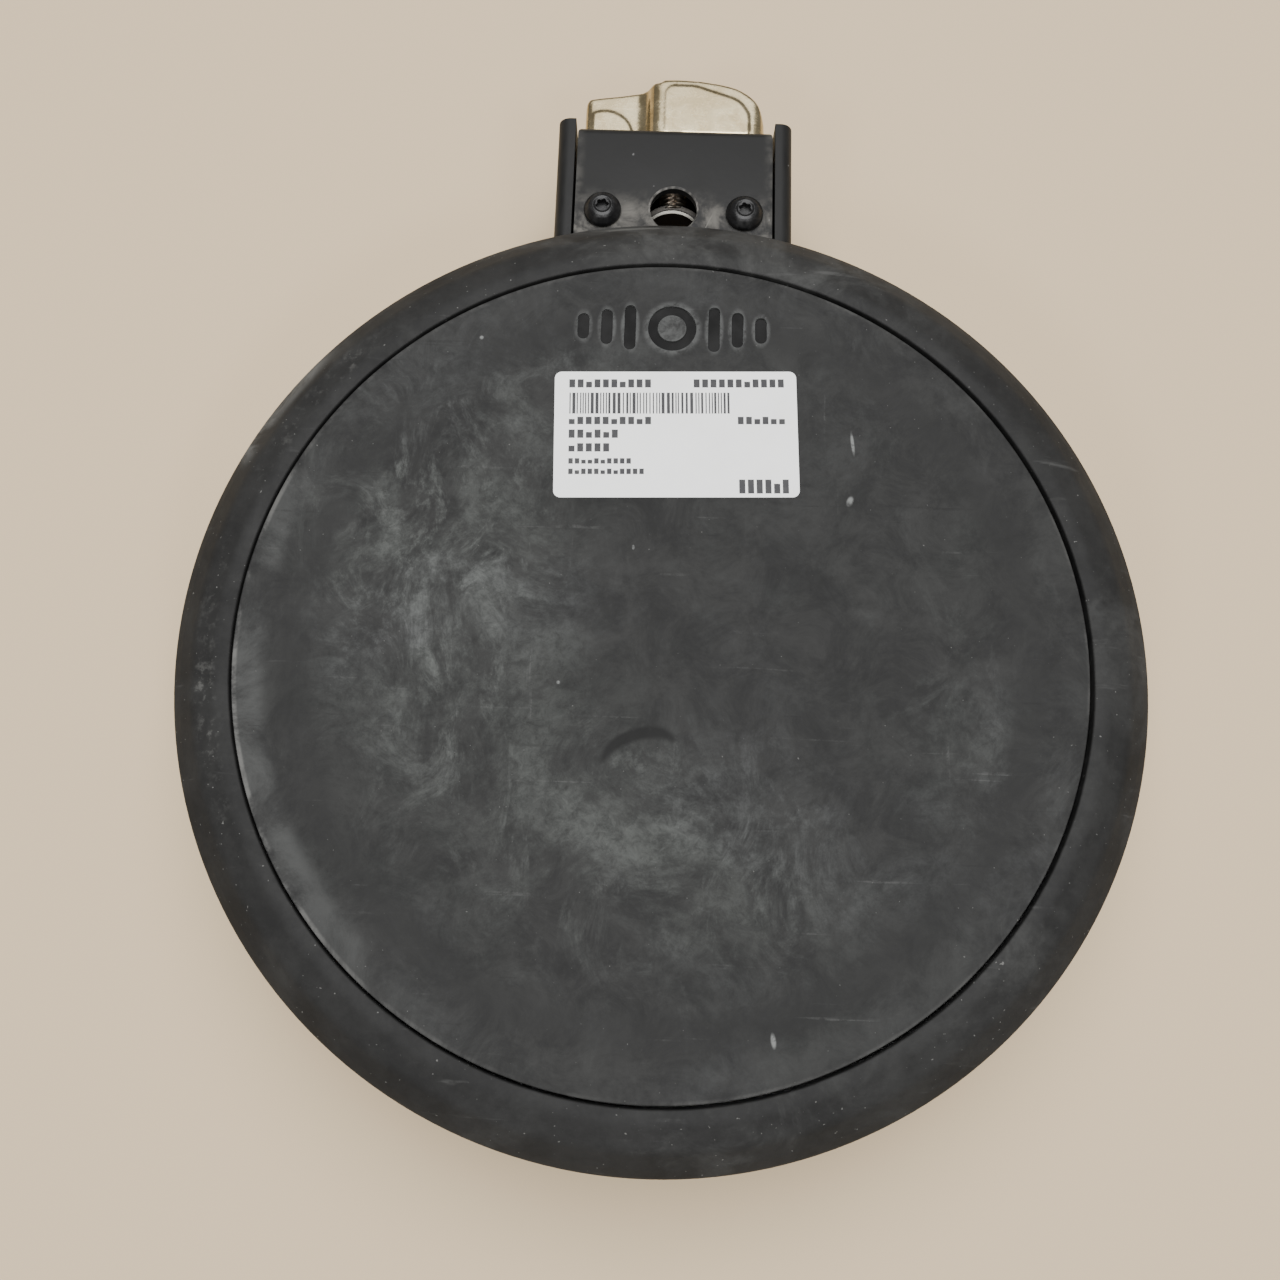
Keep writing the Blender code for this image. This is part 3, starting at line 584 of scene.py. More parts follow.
def nickel():
    """Warm cast nickel, tumbled and pitted."""
    mat = Finish("cast nickel", 0.25, 1.0)
    cloudy = mat.noise(150.0, 5.0, 0.65, distortion=0.5)
    pits = mat.noise(620.0, 5.0, 0.7)
    shade = mat.blend(cloudy, 0.35, 0.7, (0.48, 0.39, 0.23), (0.61, 0.52, 0.335))
    mat.colour(mat.mix(mat.remap(pits, 0.58, 0.74, 0.0, 0.6), shade, (0.20, 0.17, 0.12)))
    rubbed = mat.noise(1.0, 2.0, 0.5, mat.placed((60, 900, 60), 25))
    mat.rough(mat.plus(mat.remap(pits, 0.4, 0.75, 0.20, 0.36), mat.remap(rubbed, 0.6, 0.8, 0, 0.10)))
    mat.bump(mat.plus(mat.times(pits, 0.7), mat.times(cloudy, 0.4)), 0.07, 0.7)
    return mat.material


def thread_steel():
    """Plated thread with old grease and brown stain in its roots."""
    mat = Finish("stained thread", 0.3, 1.0)
    stain = mat.noise(300.0, 5.0, 0.65)
    mat.colour(mat.blend(stain, 0.35, 0.65, (0.30, 0.20, 0.13), (0.62, 0.55, 0.46)))
    mat.rough(mat.remap(stain, 0.3, 0.7, 0.22, 0.45))
    mat.bump(stain, 0.03, 0.5)
    return mat.material


def zinc():
    """Dull zinc plate."""
    mat = Finish("zinc plate", 0.35, 1.0)
    cloudy = mat.noise(240.0, 4.0, 0.6)
    mat.colour(mat.blend(cloudy, 0.35, 0.7, (0.50, 0.51, 0.53), (0.68, 0.68, 0.66)))
    mat.rough(mat.remap(cloudy, 0.3, 0.7, 0.26, 0.45))
    mat.bump(mat.noise(1500.0, 2.0), 0.02, 0.4)
    return mat.material


def moulded_plastic():
    """Black ABS with the fine spark-eroded texture of a moulded case."""
    mat = Finish("case plastic", 0.55, specular=0.45)
    fine = mat.noise(1100.0, 3.0, 0.6)
    cloudy = mat.noise(40.0, 5.0, 0.6)
    shade = mat.blend(cloudy, 0.35, 0.7, (0.014, 0.014, 0.0145), (0.022,) * 3)
    scuffs = mat.times(mat.remap(mat.noise(1.0, 2.0, 0.5, mat.placed((40, 500, 40), 15)), 0.70, 0.78),
                       mat.remap(cloudy, 0.45, 0.65))
    mat.colour(mat.mix(mat.times(scuffs, 0.4), shade, (0.075, 0.075, 0.072)))
    mat.rough(mat.remap(fine, 0.3, 0.7, 0.48, 0.64))
    mat.bump(fine, 0.07, 0.7)
    return mat.material


def plain(name, dark, light, roughness, metallic=0.0, scale=300.0, relief=0.03):
    """A material with a slight variation of tone and relief, for the small inner pieces."""
    mat = Finish(name, roughness, metallic)
    pattern = mat.noise(scale, 4.0, 0.6)
    mat.colour(mat.blend(pattern, 0.35, 0.7, dark, light))
    mat.rough(mat.remap(pattern, 0.3, 0.7, roughness * 0.85, roughness * 1.15))
    mat.bump(pattern, relief, 0.5)
    return mat.material


def paper():
    """Coated label paper, slightly soiled."""
    mat = Finish("coated paper", 0.42, specular=0.4)
    fibre = mat.noise(900.0, 4.0, 0.6)
    soiled = mat.noise(70.0, 4.0, 0.6)
    shade = mat.blend(soiled, 0.4, 0.8, (0.93, 0.935, 0.925), (0.87, 0.87, 0.855))
    mat.colour(shade)
    mat.bump(mat.plus(mat.times(fibre, 0.3), mat.noise(25.0, 2.0)), 0.04, 0.4)
    return mat.material


HEAD = head_rubber()
RECESS = recess_rubber()
CHALK = chalk_edge()
RIM = rim_rubber()
PAINT = black_paint()
PAINT_DUSTY = black_paint(dusty=True)
OXIDE = black_oxide()
# Worn paint and painted highlight: lighter grey for the rod hole's chamfer.
WORN_AND_LIT = plain("worn paint and painted highlight", (0.040, 0.039, 0.037), (0.22, 0.21, 0.195), 0.44, scale=420.0)
NICKEL = nickel()
TURNED = plain("turned nickel", (0.15, 0.145, 0.13), (0.24, 0.23, 0.205), 0.34, 1.0)
# Painted shade: a darker, slightly rougher copy of the turned nickel, for the eye ring's upper outer face.
TURNED_SHADED = plain("shaded turned nickel", (0.040, 0.037, 0.034), (0.085, 0.080, 0.073), 0.4, 1.0)
THREAD = thread_steel()
# Painted shade: a near-black finish for the eye ring's groove and its inner wall.
RING_SHADE = plain("painted ring shade", (0.012, 0.010, 0.008), (0.035, 0.028, 0.022), 0.5, 0.2)
ZINC = zinc()
CASE = moulded_plastic()
PAPER = paper()
INK = plain("thermal ink", (0.012, 0.012, 0.014), (0.030, 0.030, 0.034), 0.6, scale=700.0, relief=0.01)
FOAM = plain("closed-cell foam", (0.035, 0.035, 0.037), (0.075, 0.075, 0.08), 0.95, scale=1400.0, relief=0.2)
FILM = plain("polyester film", (0.46, 0.34, 0.14), (0.60, 0.48, 0.24), 0.3)
BRASS = plain("brass", (0.62, 0.44, 0.17), (0.76, 0.58, 0.28), 0.3, 1.0)
CERAMIC = plain("silvered ceramic", (0.70, 0.69, 0.66), (0.86, 0.85, 0.82), 0.4)
BOARD = plain("board mask", (0.015, 0.10, 0.04), (0.03, 0.17, 0.07), 0.4, scale=200.0)
BLACK_PLASTIC = plain("jack plastic", (0.014,) * 3, (0.026,) * 3, 0.4)
RED = plain("red insulation", (0.42, 0.02, 0.015), (0.55, 0.04, 0.03), 0.42)
BLACK = plain("black insulation", (0.012,) * 3, (0.026,) * 3, 0.42)

BY_SLOT = {"rubber": HEAD, "black_steel": PAINT, "black_screw": OXIDE, "zinc_steel": ZINC, "nickel": NICKEL,
           "case_plastic": CASE, "foam": FOAM, "film": FILM, "brass": BRASS, "ceramic": CERAMIC,
           "board": BOARD, "jack_plastic": BLACK_PLASTIC, "paper": PAPER, "lead_red": RED,
           "lead_black": BLACK}


def dress_frame():
    """Give every CAD node the finish of its slot. Most visible ones are replaced below."""
    for entry in frame["record"]["subparts"]:
        obj = frame["nodes"][entry["node"]]
        finish = BY_SLOT[entry["material_slot"]]
        for slot in obj.material_slots:
            slot.material = finish
        if not obj.material_slots:
            obj.data.materials.append(finish)


# ---------------------------------------------------------------- striking surface

def motif_shapes():
    """A plain moulded mark: a ring between bars that shorten outwards."""
    depth, half_x, corner = 0.45, 1.35, 1.3
    floor, above = HEAD_FLAT - depth, HEAD_TOP + 1.0
    ring = [(3.3, above), (5.6, above), (5.6, floor), (3.3, floor)]
    shapes = [lathe(ring, ROUND, closed=True, place=Matrix.Translation((*MARK, 0)))]
    for x, height in MARK_BARS:
        outline = tile((x - half_x, MARK[1] - height / 2), (x + half_x, MARK[1] + height / 2), corner)
        shapes.append(prism(outline, floor, above))
    return shapes


def build_head():
    profile = [(0, HEAD_FLAT)] + [(radius, HEAD_FLAT) for radius in (20, 40, 60, 68, 86)]
    profile += rounded([(86, HEAD_FLAT, 0), (90.3, HEAD_TOP, 4.0), (HEAD_RADIUS + 0.1, HEAD_TOP - 0.05, 0.3),
                        (HEAD_RADIUS + 0.1, head_low.z, 0.5), (80, head_low.z, 0)], closed=False)[1:]
    profile.append((0, head_low.z))
    seated = Matrix.Translation((-0.22, 0.04, 0))
    head = make("drum_head", lathe(profile, FINE, place=seated), [HEAD, CHALK, RECESS],
                stands_for=["head_rubber"])
    carve(head, *motif_shapes())
    floor = (HEAD_FLAT - 0.4) * MM
    for polygon in head.data.polygons:
        level = abs(polygon.center.z - floor) < 0.0002 and polygon.normal.z > 0.9
        if level and polygon.center.xy.length < 0.09:
            polygon.material_index = 2
    soften(head, 0.3, 2, 40, slot=1)


def build_cushion():
    radius, low, high = cushion_high.x, cushion_low.z, cushion_high.z
    profile = rounded([(0, high, 0), (radius, high, 0.8), (radius, low, 0.8), (0, low, 0)], closed=False)
    cushion = make("foam_cushion", lathe(profile, 96), FOAM, stands_for=["head_cushion"])


def build_rim():
    inside = 93.4
    under = rim_low.z + 7.7
    hook = 101.6
    skirt = 103.9
    top = RIM_TOP
    profile = rounded([(inside, top - 1.4, 0), (inside, top - 0.25, 0.45), (96.2, top, 6.0),
                       (101.8, top - 1.9, 7.0), (105.4, top - 4.9, 3.5),
                       (RIM_RADIUS, WIDEST_Z + 0.9, 2.0), (RIM_RADIUS, WIDEST_Z - 2.8, 6.0),
                       (106.2, rim_low.z, 1.6), (hook, rim_low.z, 0.5), (hook, rim_low.z + 2.0, 0.3),
                       (skirt, rim_low.z + 2.0, 0.2), (skirt, under, 0.2), (inside, under, 0.3)],
                      fineness=8)
    rim = make("rim_hoop", lathe(profile, FINE, closed=True), RIM, stands_for=["rim_rubber"])
    half = channel_high.x + 1.0
    carve(rim, block((-half, 90, 40), (half, 112, PLATE_TOP + 0.8)))


def label_rows():
    """Blocks that stand for print: (left, top, width, height), from the label's top left corner."""
    rows = []
    random.seed(8)
    x = 3.4
    while x < 40.0:
        wide = random.choice((0.26, 0.26, 0.48, 0.70))
        rows.append((x, 5.2, wide, 5.1))
        x += wide + random.choice((0.30, 0.38, 0.52))
    lines = ((3.3, 1.9, 10, 1.92, 2.0), (31.7, 1.9, 11, 1.92, 2.0), (3.3, 11.1, 10, 1.92, 1.8),
             (41.6, 11.1, 6, 1.87, 1.8), (3.3, 14.2, 6, 1.95, 2.0), (3.3, 17.5, 5, 1.95, 2.0),
             (3.3, 21.1, 10, 1.45, 1.3), (3.3, 23.6, 12, 1.45, 1.3), (41.6, 26.2, 6, 1.95, 3.3))
    for left, top, count, step, height in lines:
        for number in range(count):
            shrink = random.choice((0.0, 0.0, 0.3))
            rows.append((left + number * step, top + height * shrink, step * 0.70, height * (1 - shrink)))
    return rows


def build_label():
    """A price label: rounded card with bars and blocks in place of print."""
    centre = (label_low + label_high) / 2
    half_x, half_y = LABEL_SIZE[0] / 2, LABEL_SIZE[1] / 2
    turn = math.radians(1.8)
    place = Matrix.Translation((centre.x, centre.y, 0)) @ Matrix.Rotation(turn, 4, "Z")
    low, high = HEAD_FLAT + 0.03, HEAD_FLAT + 0.15
    outline = tile((-half_x, -half_y), (half_x, half_y), 1.6, 8)
    make("label_card", prism(outline, low, high, place), PAPER, stands_for=["price_label"])
    marks = bmesh.new()
    for left, top, wide, tall in label_rows():
        x, y = left - half_x, half_y - top - tall
        bar = block((x, y, high + 0.02), (x + wide, y + tall, high + 0.05))
        bmesh.ops.transform(bar, matrix=place, verts=bar.verts)
        joined = bpy.data.meshes.new("bar")
        bar.to_mesh(joined)
        bar.free()
        marks.from_mesh(joined)
        bpy.data.meshes.remove(joined)
    make("label_print", marks, INK)


# ---------------------------------------------------------------- case

def build_case():
    """A bowl with a screw flange, and walled recesses for the holder and for the jack."""
    bottom, top = case_low.z, case_high.z
    flange = 103.4
    under = top - 1.5
    outer = [(71, bottom, 3.0), (75.6, bottom + 1.4, 3.0), (78.8, bottom + 5.4, 5.0),
             (88.2, bottom + 28.4, 30.0), (94.0, 49.4, 2.0), (94.0, under, 0.4), (flange, under, 0.3),
             (flange, top, 0.3), (91.4, top, 0.2), (91.4, 49.6, 2.0), (85.6, 29.0, 30.0), (76.3, 6.6, 3.0),
             (73.5, 3.4, 3.0), (69.5, 2.5, 3.0)]
    profile = [(0, bottom)] + rounded([(40, bottom, 0), *outer, (40, 2.5, 0)], closed=False) + [(0, 2.5)]
    case = make("case_shell", lathe(profile, FINE), CASE, stands_for=["bottom_case"])
    middle = [(0, 80), (92.7, 80), (92.7, 49.5), (86.9, 28.7), (77.6, 6.0), (74.4, 2.4), (70.3, 1.2),
              (0, 1.2)]
    half = channel_high.x + 0.3
    back = channel_low.y - 0.3
    recesses = ((-half, half, back, PLATE_TOP + 0.3), (36.5, 59.5, 54.0, 38.0))
    for low_x, high_x, back_y, roof in recesses:
        jacket = block((low_x - 2.5, back_y - 2.5, -1.0), (high_x + 2.5, 120, roof + 1.5))
        walls = add("walls", to_mesh("walls", jacket))
        carve(walls, lathe(middle, FINE), operation="INTERSECT")
        carve(case, take_shape(walls), operation="UNION")
        carve(case, block((low_x, back_y, -5), (high_x, 125, roof)))
    circle, holes = 97.9, []
    for number in range(8):
        angle = 2 * math.pi * (number + 0.5) / 8
        centre = (circle * math.cos(angle), circle * math.sin(angle), 0)
        holes.append(drill(1.9, 56, 50, 16, Matrix.Translation(centre)))
    holes.append(drill(4.9, 60, 46, 32, along_y(48, 0, 20)))
    carve(case, *holes)
    for ring in (30.0, 58.0):
        groove = [(ring - 0.5, 0.35), (ring + 0.5, 0.35), (ring + 0.5, -1), (ring - 0.5, -1)]
        carve(case, lathe(groove, FINE, closed=True))
    soften(case, 0.3, 2, 40)


# ---------------------------------------------------------------- rod holder

def build_channel():
    """The deep U under the cover, with broadly rounded outer edges on its cheeks."""
    shoulder, side, inside = 3.0, channel_high.x, 25.0
    top, web_top = PLATE_TOP, WEB_LOW + SHEET
    right = [(inside, top), (inside + 0.3, top)] + arc((side - shoulder, top - shoulder), shoulder, 90, 0, 12)
    right += arc((side - shoulder, WEB_LOW + shoulder), shoulder, 0, -90, 12)
    outline = right + [(-x, z) for x, z in reversed(right)]
    outline += [(-inside, web_top + 0.6), (-inside + 0.6, web_top), (inside - 0.6, web_top),
                (inside, web_top + 0.6)]
    flipped = [(x, -z) for x, z in outline]
    channel = make("holder_cheeks", prism(flipped, channel_low.y, channel_high.y, along_y(0, 0, 0)), PAINT,
                   stands_for=["holder_channel"])
    holes = [block((-inside, PLATE_END, WEB_LOW - 5), (inside, channel_high.y + 5, web_top + 1)),
             drill(ROD_HOLE, 40, 10, 64, Matrix.Translation((*ROD, 0)))]
    holes += [drill(POST_HOLE, 40, 10, 24, Matrix.Translation((x, y, 0))) for x, y in POSTS]
    carve(channel, *holes)
    soften(channel, 0.35, 3, 40)


def build_plate():
    """The cover, folded down over the channel's end, with lighter paint round the rod hole: worn paint and a
    painted highlight.
    """
    foot = WEB_LOW + SHEET + 0.3
    outline = rounded([(plate_low.y, PLATE_TOP, 0.2), (PLATE_END, PLATE_TOP, 2.7), (PLATE_END, foot, 0.3),
                       (PLATE_END - SHEET, foot, 0.3), (PLATE_END - SHEET, PLATE_TOP - SHEET, 0.4),
                       (plate_low.y, PLATE_TOP - SHEET, 0.2)], fineness=8)
    plate = make("holder_cover", prism(outline, -PLATE_HALF, PLATE_HALF, ALONG_X), [PAINT_DUSTY, WORN_AND_LIT],
                 stands_for=["holder_plate"])
    side, end = PLATE_HALF + 1e-3, PLATE_END + 1e-3
    plan = rounded([(-side, 60, 0), (side, 60, 0), (side, end, 2.2), (-side, end, 2.2)])
    carve(plate, prism(plan, 10, 60), operation="INTERSECT")
    chamfer = [(0, 60), (6.5, 60), (6.5, PLATE_TOP + 0.3), (ROD_HOLE, PLATE_TOP - 0.4),
               (ROD_HOLE, 40), (0, 40)]
    holes = [lathe(chamfer, 96, place=Matrix.Translation((*ROD, 0))),
             drill(BOLT_HOLE, 145, 130, 48, along_y(0, 0, AXIS_Z))]
    holes += [drill(POST_HOLE, 60, 40, 32, Matrix.Translation((x, y, 0))) for x, y in POSTS]
    carve(plate, *holes)
    soften(plate, 0.3, 3, 30)
    # Worn paint and painted highlight: the rod hole's chamfer takes the lighter paint.
    for polygon in plate.data.polygons:
        across = Vector(polygon.center.xy) / MM - Vector(ROD)
        if polygon.center.z > (PLATE_TOP - 1.0) * MM and ROD_HOLE - 0.2 < across.length < ROD_HOLE + 0.8:
            if polygon.normal.z < 0.97:
                polygon.material_index = 1


def star(radius, depth=0.13, count=72):
    """A six-lobe outline."""
    points = []
    for step in range(count):
        angle = 2 * math.pi * step / count
        reach = radius * (1 + depth * math.cos(6 * angle))
        points.append((reach * math.cos(angle), reach * math.sin(angle)))
    return points


def build_lobe_screws():
    """Button-head screws: a domed head, a dished ring and a six-lobe socket."""
    for side in ("left", "right"):
        low, high = box(f"lobe_screw_{side}")
        centre = (low + high) / 2
        head = high.x - centre.x
        seat = PLATE_TOP + 0.05
        top = high.z - seat
        profile = rounded([(0, top - 0.25, 0), (1.75, top - 0.25, 0.2), (2.3, top, 0.25),
                           (3.3, top - 0.35, 3.0), (head, 1.0, 1.4), (head, 0, 0.25), (2.4, 0, 0),
                           (2.4, low.z - seat, 0.6), (0, low.z - seat, 0)], closed=False, fineness=8)
        place = Matrix.Translation((centre.x, centre.y, seat))
        screw = make(f"button_screw_{side}", lathe(profile, 64, place=place), OXIDE,
                     stands_for=[f"lobe_screw_{side}"])
        turn = Matrix.Rotation(math.radians(12 if side == "left" else 41), 4, "Z")
        carve(screw, prism(star(1.52), top - 1.9, top + 1, place @ turn))
        soften(screw, 0.07, 2, 50)


def threaded(radius, low, high, pitch, around=40, per_turn=8, lead_in=1.2):
    """A shank along local Z with a real helical thread and a tapered end."""
    depth = 0.61 * pitch
    core = radius - depth
    shape = bmesh.new()
    count = int((high - low) / pitch * per_turn)
    rings = []
    for level in range(count + 1):
        height = low + (high - low) * level / count
        ring = []
        for step in range(around):
            phase = (height / pitch - step / around) % 1.0
            crest = 1.0 - abs(2 * phase - 1.0)
            reach = core + depth * min(1.0, 1.15 * crest)
            fade = min(1.0, (high - height) / lead_in + 0.35)
            reach = min(reach, core + depth * fade)
            angle = 2 * math.pi * step / around
            ring.append(shape.verts.new((reach * math.cos(angle), reach * math.sin(angle), height)))
        rings.append(ring)
    for lower, upper in zip(rings, rings[1:]):
        for step in range(around):
            following = (step + 1) % around
            shape.faces.new((lower[step], lower[following], upper[following], upper[step]))
    shape.faces.new(rings[0])
    shape.faces.new(rings[-1])
    return shape


def build_eye_bolt():
    outside, inside = bolt_high.x, 7.0
    centre_y = bolt_low.y + outside
    half = 3.5
    profile = rounded([(inside, half - 0.8, 0.2), (7.7, half - 0.505, 0), (8.0, half - 0.379, 0),
                       (8.9, half, 0.4), (outside, half, 0.5), (outside, -half, 1.0),
                       (inside, -half, 1.0)])
    place = Matrix.Translation((0, centre_y, AXIS_Z))
    ring = make("eye_ring", lathe(profile, FINE, closed=True, place=place),
                [TURNED, RING_SHADE, TURNED_SHADED], "bolt", ["eye_bolt"])
    # Painted shade: the groove on the ring's top and its inner wall take the near-black finish, and its upper
    # outer face takes the darker copy of the turned nickel.
    for polygon in ring.data.polygons:
        away = (Vector(polygon.center.xy) / MM - Vector((0, centre_y))).length
        groove_shade = 7.75 < away < 7.95 and polygon.normal.z > 0.8
        if groove_shade or (away < inside + 0.05 and abs(polygon.normal.z) < 0.3):
            polygon.material_index = 1
        elif away > 8.0 and polygon.normal.z > 0.5:
            polygon.material_index = 2
    start = centre_y + outside - 0.9
    thread = threaded(4.0, start, bolt_high.y, 1.25)
    bmesh.ops.transform(thread, matrix=along_y(0, 0, AXIS_Z), verts=thread.verts)
    make("eye_shank", thread, THREAD, "bolt")


def build_washer():
    length = washer_high.y - washer_low.y
    profile = rounded([(4.4, length, 0.15), (washer_high.x, length, 0.3), (washer_high.x, 0, 0.3),
                       (4.4, 0, 0.15)], fineness=4)
    make("washer", lathe(profile, 64, closed=True, place=along_y(0, washer_low.y, AXIS_Z)), ZINC,
         stands_for=["flat_washer"])


def wing(corners, length):
    """One thick wing in the hub's frame: seen from above, then rounded to its section."""
    start, foot, low, high = -3.9, 1.2, -1.0, 5.3
    reach = corners[0][0]
    plan = [(start, foot), (reach, foot)] + [(x, length - back) for x, back in corners]
    plan += [(0.5, length), (start + 0.7, length - 0.1), (start, length - 0.9)]
    obj = add("blade", to_mesh("blade", prism(plan, low, high)))
    soften(obj, 2.1, 5, 30)
    section = rounded([(start, low, 0.9), (reach, low, 1.8), (reach, high, 3.3), (start, high, 0.9)],
                      fineness=8)
    carve(obj, prism(section, 1, -length - 1, AGAINST_Y), operation="INTERSECT")
    return take_shape(obj)


def build_wing_nut():
    """A cast nut: the hub and its two offset wings run into each other in long sweeps."""
    base, length, web_taper = nut_low.y, nut_high.y - nut_low.y, 0.11
    hub = rounded([(0, length - 0.7, 0), (4.2, length - 0.9, 1.5), (5.3, length - 3.0, 3.0), (5.4, 2.4, 0.6),
                   (7.6, 1.0, 0.5), (7.6, 0, 0.3), (0, 0, 0)], closed=False)
    nut = make("cast_wing_nut", lathe(hub, 64, place=along_y(0, base, AXIS_Z)), NICKEL, "nut",
               ["wing_nut"])
    upper = ((23.2, 13.2), (22.9, 11.0), (22.3, 8.8), (21.7, 7.3), (20.8, 5.9), (19.8, 4.8), (18.6, 3.8),
             (17.2, 2.9), (15.6, 2.1), (13.6, 1.5), (11.4, 1.0), (6.0, 0.2))
    lower = ((23.6, 8.0), (23.5, 5.0), (23.2, 4.1), (22.4, 3.5), (20.0, 3.0), (15.0, 2.3), (11.0, 1.6),
             (6.0, 0.7))
    sweep = [(-11.6, 0.95)] + arc((-10.4, 4.9), 3.9, -90, -18, 10) + [(-5.6, 4.9), (-4.6, 5.3), (-3.4, 5.45)]
    sweep += [(0, 5.4), (0, -1.0), (-11.6, -1.0)]
    for corners, turn in ((upper, 0.0), (lower, math.pi)):
        place = Matrix.Translation((0, base, AXIS_Z)) @ Matrix.Rotation(turn, 4, "Y")
        blade = wing(corners, length)
        bmesh.ops.transform(blade, matrix=place, verts=blade.verts)
        web = prism(sweep, -1.3, 0.6 - length, AGAINST_Y)
        for corner in web.verts:
            if corner.co.y > 2:
                corner.co.y += web_taper * corner.co.x
        bmesh.ops.transform(web, matrix=place, verts=web.verts)
        panel = rounded([(x, length - back, radius) for x, back, radius in
                         ((-2.7, 16.0, 1), (-2.7, 2.1, 2.5), (5.0, 2.1, 6), (16.5, 6.0, 6), (19.0, 10.0, 4),
                          (19.0, 16.0, 1))])
        boss = [(min(x, 21.6), max(y, 1.6)) for x, y in arc((18.5, length - 14.4), 7.2, 0, 350, 35)]
        carve(nut, blade, web, prism(panel, 4.0, 5.6, place), prism(boss, -1.3, 0.5, place),
              operation="UNION")
    remesh = nut.modifiers.new("skin", "REMESH")
    remesh.mode = "VOXEL"
    remesh.voxel_size = 0.28 * MM
    remesh.use_smooth_shade = True
    smooth = nut.modifiers.new("cast", "SMOOTH")
    smooth.factor = 0.5
    smooth.iterations = 8
    bake(nut)
    nut.data.shade_smooth()
    carve(nut, drill(BOLT_HOLE, 14.5, -5, 48, along_y(0, base, AXIS_Z)))


# ---------------------------------------------------------------- plain fasteners and the jack

def cross(width, reach):
    """A cross-recess outline."""
    corners = []
    for quarter in range(4):
        angle = math.pi / 2 * quarter
        for along, across in ((reach, -width), (reach, width), (width, width)):
            corners.append((along * math.cos(angle) - across * math.sin(angle),
                            along * math.sin(angle) + across * math.cos(angle), width * 0.4))
    return rounded(corners, fineness=3)


def build_plain_screws():
    """Pan-head screws with a cross recess, in place of the CAD's plain ones."""
    names = [f"case_screw_{number}" for number in range(1, 9)]
    names += [f"{kind}_{side}" for kind in ("post_screw", "holder_screw") for side in ("left", "right")]
    for name in names:
        low, high = box(name)
        centre = (low + high) / 2
        head = high.x - centre.x
        thick = 2.0 if head < 3 else 2.6
        shank = 1.6 if head < 3 else 2.4
        length = high.z - low.z - thick
        profile = rounded([(0, thick, 0), (head * 0.62, thick, 1.5), (head, thick * 0.45, 0.8),
                           (head, 0, 0.2), (shank, 0, 0), (shank, -length, 0.4), (0, -length, 0)],
                          closed=False, fineness=6)
        place = Matrix.Translation((centre.x, centre.y, low.z + thick)) @ Matrix.Rotation(math.pi, 4, "X")
        small = name.startswith("case")
        screw = make(f"pan_{name}", lathe(profile, ROUND, place=place), OXIDE if small else ZINC,
                     stands_for=[name])
        turn = Matrix.Rotation(math.radians(17 + 53 * names.index(name)), 4, "Z")
        carve(screw, prism(cross(head * 0.11, head * 0.52), thick * 0.35, thick + 1, place @ turn))
        soften(screw, 0.05, 2, 50)


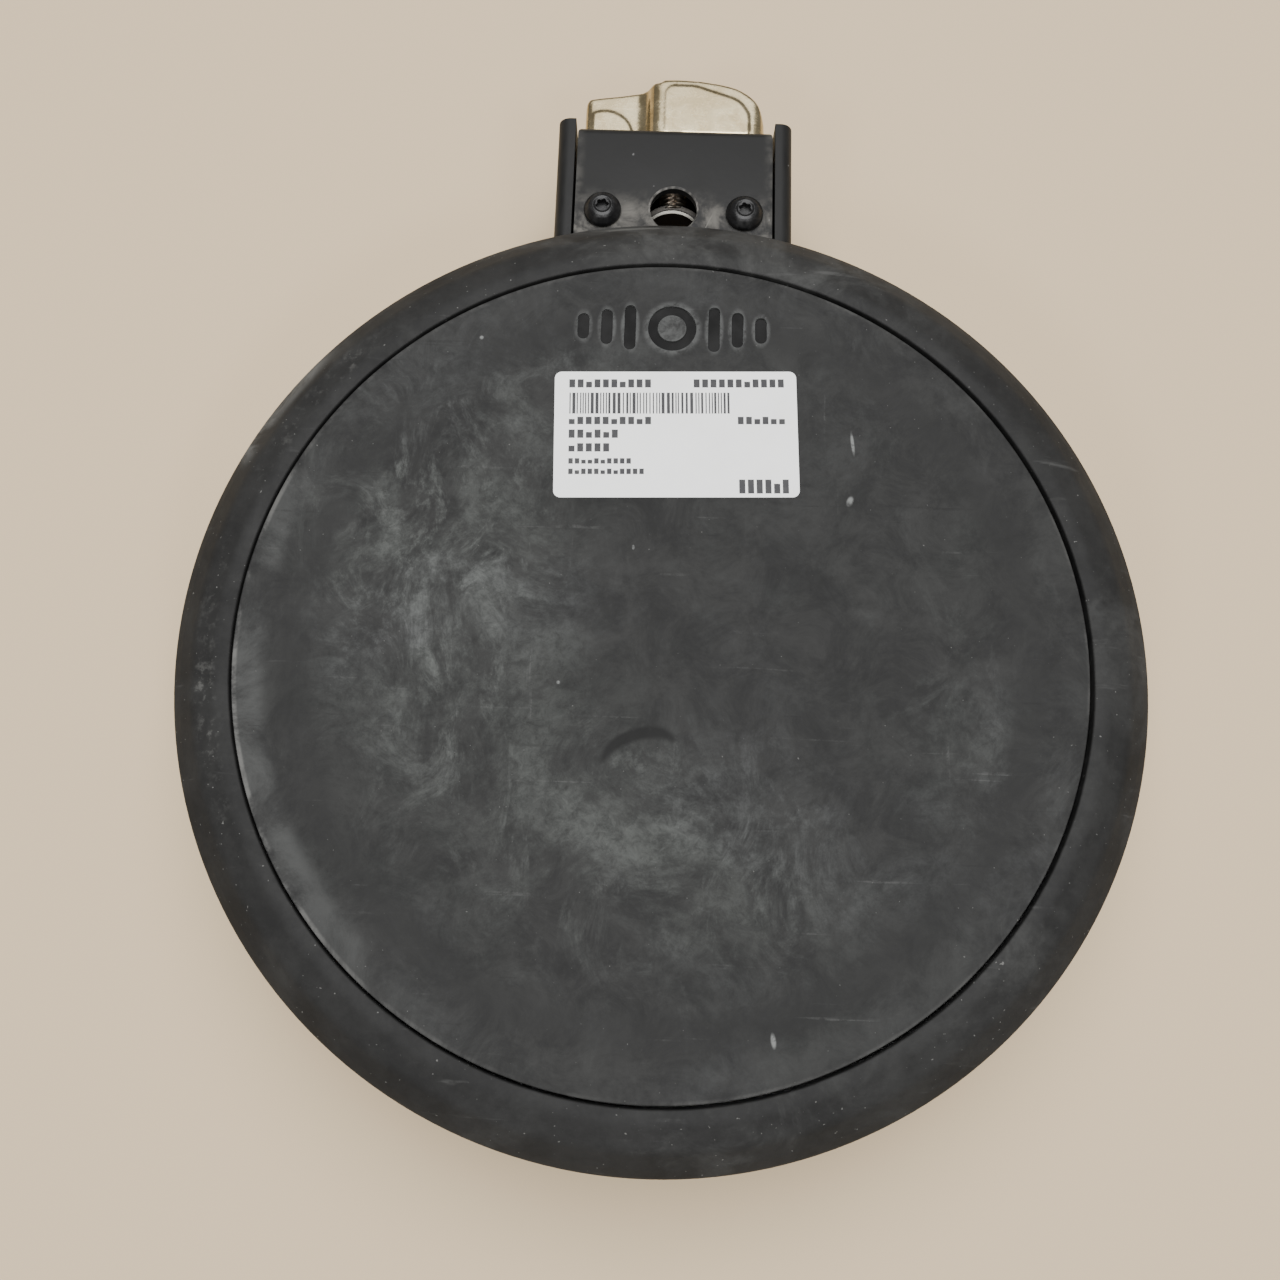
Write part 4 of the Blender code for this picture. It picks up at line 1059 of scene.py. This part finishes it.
def build_jack_front():
    """The jack's threaded bush, its washer and its hexagon nut."""
    centre = (bush_low + bush_high) / 2
    place = along_y(centre.x, 0, centre.z)
    start, end = bush_low.y, bush_high.y
    thread = threaded(bush_high.x - centre.x, start, end, 0.8, 48, 6, 0.5)
    bmesh.ops.transform(thread, matrix=place, verts=thread.verts)
    bush = make("jack_barrel", thread, ZINC, stands_for=["jack_bush"])
    carve(bush, drill(3.3, end + 5, start - 5, 64, place))
    low, high = box("jack_nut")
    across = (high.x - low.x) / 2
    hexagon = [(across * math.cos(math.pi / 3 * n), across * math.sin(math.pi / 3 * n)) for n in range(6)]
    nut = make("jack_hexagon", prism(hexagon, low.y, high.y, place), ZINC,
               stands_for=["jack_nut"])
    crown = [(0, high.y), (across * 0.9, high.y), (across * 1.05, high.y - 0.6), (across * 1.05, low.y + 0.6),
             (across * 0.9, low.y), (0, low.y)]
    carve(nut, lathe(crown, 64, place=place), operation="INTERSECT")
    carve(nut, drill(4.9, high.y + 2, low.y - 2, 48, place))
    soften(nut, 0.12, 2, 30)
    low, high = box("jack_washer")
    profile = rounded([(4.9, high.y, 0.1), (6.6, high.y, 0.2), (6.6, low.y, 0.2), (4.9, low.y, 0.1)],
                      fineness=3)
    make("jack_plain_washer", lathe(profile, 64, closed=True, place=place), ZINC,
         stands_for=["jack_washer"])


# ---------------------------------------------------------------- stage

def build_stage():
    """A pale floor under soft overhead light, with a dim panel for the flat metal faces to mirror."""
    bpy.ops.mesh.primitive_plane_add(size=6.0, location=(0, 0, -0.0001))
    floor = bpy.context.object
    floor.name = "floor"
    mat = Finish("pale floor", 0.7, specular=0.2)
    mat.colour((0.65, 0.51, 0.335))
    floor.data.materials.append(mat.material)

    world = bpy.data.worlds.new("studio")
    bpy.context.scene.world = world
    world.use_nodes = True
    background = world.node_tree.nodes["Background"]
    background.inputs["Color"].default_value = (1.0, 0.98, 0.95, 1)
    background.inputs["Strength"].default_value = 0.26

    lamps = (("overhead", (0.0, 0.2, 1.6), 1.3, 42.0), ("far_top", (0.0, 1.3, 1.7), 0.9, 4.5),
             ("near_left", (-0.5, -0.9, 1.2), 0.22, 3.6), ("near_right", (0.45, -0.8, 1.2), 0.2, 3.2))
    for name, place, size, power in lamps:
        light = bpy.data.lights.new(name, "AREA")
        light.size = size
        light.energy = power
        lamp = add(name, light)
        lamp.location = place
        lamp.rotation_euler = (-Vector(place)).to_track_quat("-Z", "Y").to_euler()


def build_camera():
    """Looking down, a little from the front, slightly turned, at arm's length."""
    data = bpy.data.cameras.new("camera")
    data.lens = 36.27
    data.sensor_width = 36.0
    data.clip_start = 0.01
    camera = add("camera", data)
    camera.location = Vector((-3.65, -63.66, WIDEST_Z + 279.0)) * MM
    camera.rotation_euler = (0.240, -0.003, 0.0305)
    bpy.context.scene.camera = camera


build_camera()
build_stage()
dress_frame()
build_head()
build_cushion()
build_rim()
build_label()
build_case()
build_channel()
build_plate()
build_lobe_screws()
build_eye_bolt()
build_washer()
build_wing_nut()
build_plain_screws()
build_jack_front()
